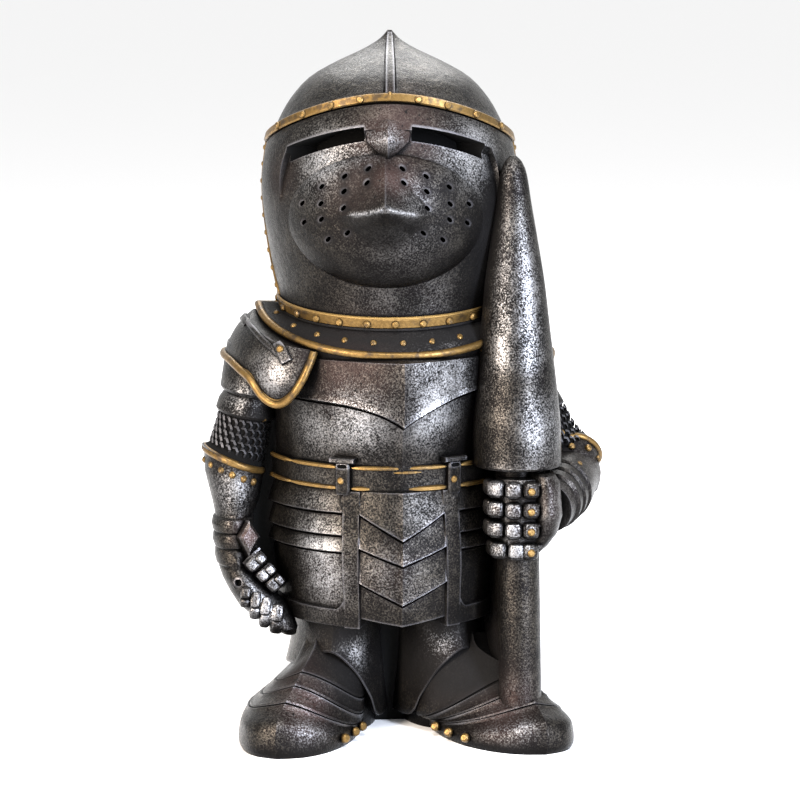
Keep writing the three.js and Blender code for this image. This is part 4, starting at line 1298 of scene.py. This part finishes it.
def silver_paint(tree):
    """Silver dry-brushed over black: it catches on edges and grain and leaves the corners dark; on top of
    that, corners, recesses, downward faces and listed spots are darkened as painted shade, and other spots
    carry painted highlights.
    """
    colour = bpy.context.scene.knight_paint
    place = node(tree, "TexCoord").outputs
    # The casting's colour layer: bright holds rubbed silver and painted highlights, warm a warm tone, dark
    # holds darker paint and painted shade
    colour_layer_rubs_and_painted_light = node(tree, "VertexColor", layer_name="rubs_and_painted_light").outputs["Color"]
    bright, warm, dark = list(node(tree, "SeparateColor", {"Color": colour_layer_rubs_and_painted_light}).outputs)[:3]
    # Grains of dry brush under half a millimetre across, broad strokes of the hand, black specks
    # about a millimetre apart, and the lumps of a hand-made mould
    fine, broad, spots, lumps = [
        node(tree, "TexNoise", {
            "Vector": place["Object"], "Scale": 1 / (size * MM), "Detail": detail, "Roughness": 0.62,
        }).outputs["Fac"]
        for size, detail in ((0.42, 4), (7.0, 3), (0.9, 3), (2.6, 1))
    ]
    level = fine
    for share, weight in ((broad, 0.4), (bright, 0.08), (dark, -0.16)):
        rise = node(tree, "Math", {0: share, 1: weight, 2: level}, operation="MULTIPLY_ADD")
        level = rise.outputs[0]
    # How open the surface is over 5 and 1.4 mm, how near an edge, and how far it looks up; openness darkens
    # hollows as black left there and as painted shade, and looking down darkens the surface as painted
    # shade
    wide, narrow, edge = [
        node(tree, "AmbientOcclusion", {"Distance": reach * MM}, samples=6, inside=inside).outputs["AO"]
        for reach, inside in ((5, False), (1.4, False), (0.8, True))
    ]
    up = node(tree, "SeparateXYZ", {"Vector": place["Normal"]}).outputs["Z"]
    silver, rim_share, corner, crack, painted_top_light, gloss, speck = [
        node(tree, "MapRange", {
            "Value": value, "From Min": low, "From Max": high, "To Min": to_low, "To Max": to_high,
        }, interpolation_type="SMOOTHSTEP").outputs["Result"]
        for value, low, high, to_low, to_high in (
            (level, 0.6, 0.96, 0.0, 1.0),
            (edge, 0.86, 0.42, 0.0, 0.7),
            (wide, 0.5, 0.98, 0.06, 1.0),
            (narrow, 0.4, 0.92, 0.0, 1.0),
            (up, -0.6, 0.4, 0.12, 1.0),
            (level, 0.5, 0.85, 0.45, 0.3),
            (spots, 0.58, 0.7, 0.0, 1.0),
        )
    ]
    silver_rubs_and_painted_highlight, blush, shade, wash_and_painted_shade = [
        node(tree, "Math", {0: a, 1: b}, operation="MULTIPLY").outputs[0]
        for a, b in ((bright, silver), (warm, 0.55), (dark, 0.97), (corner, crack))
    ]
    # Where the dark share lays darker paint and painted shade, the surface is a matt black paint; rubbed
    # silver is a bright metal
    metal, matt = [
        node(tree, "Math", {0: dark, 1: weight, 2: start}, operation="MULTIPLY_ADD").outputs[0]
        for weight, start in ((-0.82, 0.82), (0.3, gloss))
    ]
    body = linear(UNDERCOAT)
    # Painted highlights on the bright spots, and painted shade under the dark share, are mixed in with the
    # rubbed silver
    for share, over in (
        (silver, [*colour.silver, 1.0]),
        (silver_rubs_and_painted_highlight, linear("#cdced2")),
        (blush, linear("#604b46")),
        (speck, linear(UNDERCOAT)),
        (rim_share, linear("#7d7c80")),
        (shade, linear(SHADE_AND_WASH_BLACK)),
    ):
        body = node(tree, "Mix", {0: share, 6: body, 7: over}, data_type="RGBA").outputs[2]
    # Painted shade: hollows, recesses and downward faces are darkened towards near-black
    for share in (wash_and_painted_shade, painted_top_light):
        body = node(tree, "Mix", {0: share, 6: linear(SHADE_AND_WASH_BLACK), 7: body}, data_type="RGBA").outputs[2]
    mould = node(tree, "Bump", {"Strength": 0.5, "Distance": 0.3 * MM, "Height": lumps})
    bump = node(tree, "Bump", {
        "Strength": 0.6, "Distance": 0.16 * MM, "Height": level, "Normal": mould.outputs[0]})
    return node(tree, "BsdfPrincipled", {
        "Base Color": body, "Metallic": metal, "Roughness": matt, "Specular IOR Level": 0.1,
        "Normal": bump.outputs[0]})


def gold_paint(tree):
    """Gold brushed over the trims, thin in places, and dark where it meets the plates, partly as black left
    in the joins and partly as painted shade.
    """
    colour = bpy.context.scene.knight_paint
    place = node(tree, "TexCoord").outputs["Object"]
    fine, broad = [
        node(tree, "TexNoise", {
            "Vector": place, "Scale": 1 / (size * MM), "Detail": 3.0, "Roughness": 0.6}).outputs["Fac"]
        for size in (0.9, 3.0)
    ]
    narrow, edge = [
        node(tree, "AmbientOcclusion", {"Distance": reach * MM}, samples=6, inside=inside).outputs["AO"]
        for reach, inside in ((1.3, False), (0.7, True))
    ]
    grain, worn, rim_share, crack, gloss = [
        node(tree, "MapRange", {
            "Value": value, "From Min": low, "From Max": high, "To Min": to_low, "To Max": to_high,
        }, interpolation_type="SMOOTHSTEP").outputs["Result"]
        for value, low, high, to_low, to_high in (
            (fine, 0.62, 0.38, 0.0, 0.8),
            (broad, 0.5, 0.34, 0.0, 1.0),
            (edge, 0.8, 0.4, 0.0, 0.8),
            (narrow, 0.92, 0.45, 0.0, 1.0),
            (fine, 0.35, 0.7, 0.46, 0.34),
        )
    ]
    body = [*colour.gold, 1.0]
    # The last share darkens the joins with the plates, partly black left there and partly painted shade
    for share, over in (
        (grain, linear("#54401f")),
        (worn, linear("#3f3221")),
        (rim_share, linear("#b4935a")),
        (crack, linear("#120e0a")),
    ):
        body = node(tree, "Mix", {0: share, 6: body, 7: over}, data_type="RGBA").outputs[2]
    bump = node(tree, "Bump", {"Strength": 0.3, "Distance": 0.1 * MM, "Height": fine})
    return node(tree, "BsdfPrincipled", {
        "Base Color": body, "Metallic": 0.8, "Roughness": gloss, "Normal": bump.outputs[0]})


def black_paint(tree):
    """Matt black undercoat, left bare inside the sights and breath holes and under the mail; on the webs
    between the legs and beside the hanging arm it is painted shade.
    """
    return node(tree, "BsdfPrincipled", {
        "Base Color": linear("#050505"), "Roughness": 0.9, "Specular IOR Level": 0.1})


def web_shade_paint(tree):
    """Near-black on the webs, as painted shade in the gaps that they fill, with a little silver dust."""
    place = node(tree, "TexCoord").outputs["Object"]
    dust = node(tree, "TexNoise", {
        "Vector": place, "Scale": 1 / (1.2 * MM), "Detail": 4.0, "Roughness": 0.7})
    share = node(tree, "MapRange", {"Value": dust.outputs["Fac"], "From Min": 0.5, "From Max": 0.8})
    black, grey = linear("#080808"), linear("#232120")
    body = node(tree, "Mix", {0: share.outputs["Result"], 6: black, 7: grey}, data_type="RGBA").outputs[2]
    return node(tree, "BsdfPrincipled", {
        "Base Color": body, "Roughness": 0.65, "Specular IOR Level": 0.15})


PAINTS = {
    "antique_silver_paint_dry_brushed_over_black": silver_paint,
    "gold_paint_brushed_on_trims": gold_paint,
    "black_in_openings_and_painted_shade_on_webs": black_paint,
    "painted_shade_black_on_webs": web_shade_paint,
}


def paints():
    """The casting's materials, made once, in the order of the paint numbers."""
    made = []
    for name, make in PAINTS.items():
        material = bpy.data.materials.get(name)
        if material is None:
            material = bpy.data.materials.new(name)
            material.use_nodes = True
            tree = material.node_tree
            tree.nodes.clear()
            node(tree, "OutputMaterial", {"Surface": make(tree).outputs[0]})
        made.append(material)
    return made


# Where the paint was rubbed by hand, and where highlights and shade are painted: x, y, z, radius, then
# bright, warm and dark shares; bright lays rubbed silver and painted highlights, dark lays darker paint and
# painted shade

RUBS_AND_PAINTED_LIGHT = [
    (0, -29, 154, 9, 0.0, 0.45, 0.3),
    (-18, -24, 144, 7, 0.7, 0.0, 0.0),
    (-9, -29, 148, 4, 0.4, 0.1, 0.0),
    (-3, -34, 151, 3.5, 1.0, 0.0, 0.0),
    (18, -25, 146, 7, 0.9, 0.0, 0.0),
    (-3, -37, 141, 4, 0.2, 0.8, 0.0),
    (4, -40, 137, 3.5, 0.8, 0.0, 0.0),
    (-12, -34, 138, 7, 0.0, 0.2, 0.5),
    (12, -34, 139, 5, 0.0, 0.0, 0.35),
    (0, -38, 124, 9, 0.2, 0.0, 0.0),
    (-6, -33, 110, 7, 0.2, 0.0, 0.0),
    (10, -33, 110, 7, 0.25, 0.0, 0.0),
    (-28, -14, 140, 6, 0.0, 0.2, 0.6),
    (22, -22, 136, 5, 0.0, 0.0, 0.6),
    (22, -22, 127, 6, 0.0, 0.0, 0.9),
    (22, -21, 116, 7, 0.0, 0.0, 0.9),
    (-12, -28, 95, 9, 0.0, 0.5, 0.3),
    (10, -29, 93, 8, 0.9, 0.0, 0.0),
    (-11, -30, 82, 7, 1.0, 0.0, 0.0),
    (-22, -22, 78, 6, 0.4, 0.0, 0.0),
    (8, -33, 82, 6, 1.0, 0.0, 0.0),
    (-22, -24, 60, 6, 0.2, 0.0, 0.0),
    (-21, -24, 50, 5, 0.8, 0.0, 0.0),
    (-20, -26, 41, 6, 0.8, 0.2, 0.0),
    (-4, -33, 44, 6, 0.2, 0.1, 0.0),
    (5, -33, 60, 5, 0.2, 0.0, 0.0),
    (-30, -22, 92, 5, 0.8, 0.1, 0.0),
    (-38, -10, 84, 4, 0.8, 0.0, 0.0),
    (-40, -12, 62, 5, 0.7, 0.0, 0.0),
    (-37, -15, 51, 3, 0.2, 0.8, 0.0),
    (-24, -34, 11, 6, 0.2, 0.6, 0.0),
    (-24, -39, 7, 3, 0.9, 0.1, 0.0),
    (-18, -38, 6.5, 3, 1.0, 0.1, 0.0),
    (-13, -36, 6, 3, 0.7, 0.0, 0.0),
    (-24, -42, 2, 8, 0.0, 0.0, 0.5),
    (24, -36, 10, 7, 0.2, 0.6, 0.0),
    (28, -42, 6.5, 3, 0.8, 0.1, 0.0),
    (22, -42, 6.5, 3, 1.0, 0.1, 0.0),
    (16, -40, 6, 3, 0.7, 0.0, 0.0),
    (24, -44, 2, 8, 0.0, 0.0, 0.5),
    (-9, -20, 21, 4, 1.0, 0.0, -0.6),
    (12, -20, 23, 5, 0.9, 0.0, -0.5),
    (-37, -9, 75, 7, 0.0, 0.0, 1.0),
    (42, -9, 76, 7, 0.0, 0.0, 1.0),
    (2, -12, 18, 9, 0.0, 0.0, 1.0),
    (-8, -26, 14, 7, 0.0, 0.0, 0.9),
    (-15, -21, 17, 6, 0.0, 0.0, 0.7),
    (12, -24, 15, 9, 0.0, 0.1, 1.0),
    (21, -21, 17, 6, 0.0, 0.0, 0.7),
    (-14, -16, 29, 6, 0.0, 0.0, 0.8),
    (15, -16, 29, 6, 0.0, 0.0, 0.7),
    (17, -24, 42, 6, 0.0, 0.0, 0.3),
    (27, -22, 19, 9, 0.0, 0.1, 1.0),
    (-26, -22, 16, 7, 0.0, 0.3, 0.7),
    (-9, -22, 29, 6, 0.0, 0.0, 0.9),
    (10, -22, 29, 6, 0.0, 0.0, 0.9),
    (36, -34, 80, 7, 0.6, 0.0, 0.0),
    (24, -36, 64, 5, 0.8, 0.2, 0.0),
    (25, -37, 56, 5, 0.7, 0.2, 0.0),
    (26, -37, 50, 4, 0.8, 0.0, 0.0),
    (37, -33, 60, 7, 0.3, 0.3, 0.0),
    (48, -10, 62, 7, 0.3, 0.3, 0.0),
    (-33, -17, 42, 4, 0.9, 0.1, 0.0),
    (-33, -18, 31, 5, 0.8, 0.1, 0.0),
]


def rubs_and_painted_light_layer(mesh):
    """Stores the hand-rubbed places, the painted highlights and the painted shade as a colour at each point
    of the casting.
    """
    points = np.empty(len(mesh.vertices) * 3, np.float32)
    mesh.vertices.foreach_get("co", points)
    points = points.reshape(-1, 3) / MM
    colour = np.zeros((len(points), 4), np.float32)
    colour[:, 3] = 1
    # The collar plate is darkened nearly black all round, and the rims of the breath holes are darkened as
    # painted shade; the crease of the mouth and the lance are given painted highlights
    turn = circle(36)
    crease = marks([-8, 7], 0.7)
    holes = np.array([[side * x, z] for side in (-1, 1) for x, z in BREATHS]).T
    shaft = lance_axis(marks([96, 140], 4))
    spots = list(RUBS_AND_PAINTED_LIGHT)
    for places, *look in (
        (mix(rim_point(turn, 0.8), neck_point(turn, -2.0), 0.5), 4.0, 0, 0, 0.8),
        (on_mouth(*holes, 0), 1.2, 0, 0, 1),
        (on_mouth(crease, TIP_Z, DROOP * np.sin(pi * np.abs(crease) / MOUTH_WIDE)), 0.6, 1, 0, -0.5),
        (shaft + [-4.0, -7.0, 0], 3.0, 0.35, 0, 0),
        (shaft + [3.0, -8.0, 0], 3.0, 0.5, 0, 0),
    ):
        spots += [[*place, *look] for place in places]
    for x, y, z, radius, *shares in spots:
        far = np.linalg.norm(points - [x, y, z], axis=1) / radius
        colour[:, :3] += np.exp(-far ** 2)[:, None] * shares
    layer = mesh.color_attributes.new("rubs_and_painted_light", "FLOAT_COLOR", "POINT")
    layer.data.foreach_set("color", np.clip(colour, 0, 1).ravel())


# Settings

class KnightPaint(bpy.types.PropertyGroup):
    """Colours of the figure and the floor."""

    silver: FloatVectorProperty(
        name="Silver", description="Dry-brushed antique silver", subtype="COLOR",
        default=linear("#4a4640")[:3])
    gold: FloatVectorProperty(
        name="Gold", description="Gold paint on the trims", subtype="COLOR",
        default=linear("#69522c")[:3])
    floor: FloatVectorProperty(
        name="Floor", description="Pale studio floor", subtype="COLOR",
        default=linear("#f4f4f4")[:3])


class KnightStudio(bpy.types.PropertyGroup):
    """Light and camera of the studio."""

    distance: FloatProperty(
        name="Camera distance", description="From the middle of the figure", unit="LENGTH", default=0.750)
    height_angle: FloatProperty(
        name="Camera height", description="Angle above the level", subtype="ANGLE", default=radians(9))


# Operators

PARTS = {}
# Faces that meet at more than this look creased
CREASE = radians(24)


class KNIGHT_OT_helmet(bpy.types.Operator):
    """Cast the helmet with its visor and brow band"""

    bl_idname = "knight.helmet"
    bl_label = "Helmet"

    def execute(self, context):
        PARTS["helmet"] = helmet()
        return {"FINISHED"}


class KNIGHT_OT_collar(bpy.types.Operator):
    """Cast the neck band and the collar plate"""

    bl_idname = "knight.collar"
    bl_label = "Collar"

    def execute(self, context):
        PARTS["collar"] = collar()
        return {"FINISHED"}


class KNIGHT_OT_trunk(bpy.types.Operator):
    """Cast the breastplate, belt and skirt"""

    bl_idname = "knight.trunk"
    bl_label = "Trunk"

    def execute(self, context):
        PARTS["trunk"] = trunk()
        return {"FINISHED"}


class KNIGHT_OT_shoulders(bpy.types.Operator):
    """Cast both shoulder plates"""

    bl_idname = "knight.shoulders"
    bl_label = "Shoulders"

    def execute(self, context):
        for side in (-1, 1):
            PARTS[f"shoulder_{side}"] = shoulder(side)
        return {"FINISHED"}


class KNIGHT_OT_arms(bpy.types.Operator):
    """Cast the hanging arm and the arm that holds the lance"""

    bl_idname = "knight.arms"
    bl_label = "Arms"

    def execute(self, context):
        PARTS["hanging_arm"] = hanging_arm()
        PARTS["lance_arm"] = lance_arm()
        return {"FINISHED"}


class KNIGHT_OT_lance(bpy.types.Operator):
    """Cast the lance and its web"""

    bl_idname = "knight.lance"
    bl_label = "Lance"

    def execute(self, context):
        PARTS["lance"] = lance()
        return {"FINISHED"}


class KNIGHT_OT_legs(bpy.types.Operator):
    """Cast the legs, shoes and the web between them"""

    bl_idname = "knight.legs"
    bl_label = "Legs"

    def execute(self, context):
        PARTS["legs"] = legs()
        return {"FINISHED"}


class KNIGHT_OT_casting(bpy.types.Operator):
    """Join everything into the one casting"""

    bl_idname = "knight.casting"
    bl_label = "Casting"

    def execute(self, context):
        whole, *rest = PARTS.values()
        fuse(whole, rest)
        PARTS.clear()
        whole.name = "knight_statue"
        mesh = whole.data
        one_skin(mesh)
        mesh.polygons.foreach_set("use_smooth", [True] * len(mesh.polygons))
        mesh.set_sharp_from_angle(angle=CREASE)
        mesh.update()
        rubs_and_painted_light_layer(mesh)
        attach(whole, "root")
        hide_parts("knight_figure")
        return {"FINISHED"}


class KNIGHT_OT_stage(bpy.types.Operator):
    """Lay the pale floor and set the lights and the camera"""

    bl_idname = "knight.stage"
    bl_label = "Studio"

    def execute(self, context):
        studio(context.scene)
        return {"FINISHED"}


# The camera's azimuth, the point it looks at, its lens and sensor, and in metres how near it sees
CAMERA_AZIMUTH = radians(-7)
AIM_SHIFT = 3.3
AIM_Z = 82
LENS = 132.75
SENSOR = 36
NEAREST = 0.01

# Metres: half the floor's width, and how far the lamps stand from the figure
FLOOR = 40
LAMP_REACH = 0.8

# Lamps: azimuth and height in degrees, width and height in metres, watts, colour
LAMPS = {
    "left": (-47, 16, 0.13, 0.5, 14.0, "#fff0e0"),
    "right": (33, 16, 0.13, 0.5, 16.0, "#e4edff"),
    "top": (0, 62, 0.4, 0.3, 6.5, "#ffffff"),
    "back": (170, 50, 0.5, 0.5, 6.0, "#ffffff"),
}


def aimed(scene, name, data, azimuth, height, reach):
    """Puts a lamp or the camera at a distance from the middle of the figure, looking at it."""
    aim = Vector((AIM_SHIFT * cos(CAMERA_AZIMUTH), AIM_SHIFT * sin(CAMERA_AZIMUTH), AIM_Z)) * MM
    way = Vector((sin(azimuth) * cos(height), -cos(azimuth) * cos(height), sin(height)))
    made = bpy.data.objects.new(name, data)
    made.location = aim + way * reach
    made.rotation_euler = (-way).to_track_quat("-Z", "Y").to_euler()
    scene.collection.objects.link(made)
    return made


def studio(scene):
    """Pale floor, soft light from both sides and a camera at the photographed angle."""
    corners = [(x * FLOOR, y * FLOOR, 0) for x, y in ((-1, -1), (1, -1), (1, 1), (-1, 1))]
    mesh = bpy.data.meshes.new("floor")
    mesh.from_pydata(corners, [], [range(4)])
    floor = bpy.data.objects.new("floor", mesh)
    scene.collection.objects.link(floor)
    material = bpy.data.materials.new("matt_pale_paper")
    material.use_nodes = True
    shader = material.node_tree.nodes["Principled BSDF"]
    shader.inputs["Base Color"].default_value = [*scene.knight_paint.floor, 1.0]
    shader.inputs["Roughness"].default_value = 0.9
    mesh.materials.append(material)

    world = bpy.data.worlds.new("studio_air")
    scene.world = world
    world.use_nodes = True
    air = world.node_tree.nodes["Background"].inputs
    air["Color"].default_value = linear("#ffffff")
    air["Strength"].default_value = 1.0

    for name, (azimuth, height, wide, tall, power, colour) in LAMPS.items():
        lamp = bpy.data.lights.new(name, "AREA")
        lamp.shape = "RECTANGLE"
        lamp.size = wide
        lamp.size_y = tall
        lamp.energy = power
        lamp.color = linear(colour)[:3]
        aimed(scene, name, lamp, radians(azimuth), radians(height), LAMP_REACH)

    lens = bpy.data.cameras.new("camera")
    lens.lens = LENS
    lens.sensor_width = SENSOR
    lens.clip_start = NEAREST
    view = scene.knight_studio
    scene.camera = aimed(scene, "camera", lens, CAMERA_AZIMUTH, view.height_angle, view.distance)
    scene.view_settings.view_transform = "Standard"


STEPS = (KNIGHT_OT_helmet, KNIGHT_OT_collar, KNIGHT_OT_trunk, KNIGHT_OT_shoulders, KNIGHT_OT_arms,
         KNIGHT_OT_lance, KNIGHT_OT_legs, KNIGHT_OT_casting, KNIGHT_OT_stage)


class KNIGHT_PT_panel(bpy.types.Panel):
    """Sidebar panel with the settings and the steps"""

    bl_idname = "KNIGHT_PT_panel"
    bl_label = "Knight Statue"
    bl_space_type = "VIEW_3D"
    bl_region_type = "UI"
    bl_category = "Knight"

    def draw(self, context):
        for group in (context.scene.knight_paint, context.scene.knight_studio):
            for name in group.bl_rna.properties.keys():
                if name not in ("rna_type", "name"):
                    self.layout.prop(group, name)
        for step in STEPS:
            self.layout.operator(step.bl_idname)


CLASSES = (KnightPaint, KnightStudio, *STEPS, KNIGHT_PT_panel)


def register():
    for each in CLASSES:
        bpy.utils.register_class(each)
    bpy.types.Scene.knight_paint = PointerProperty(type=KnightPaint)
    bpy.types.Scene.knight_studio = PointerProperty(type=KnightStudio)


def unregister():
    del bpy.types.Scene.knight_studio
    del bpy.types.Scene.knight_paint
    for each in reversed(CLASSES):
        bpy.utils.unregister_class(each)


def main():
    register()
    for step in STEPS:
        getattr(bpy.ops.knight, step.bl_idname.split(".")[1])()


if __name__ == "__main__":
    main()
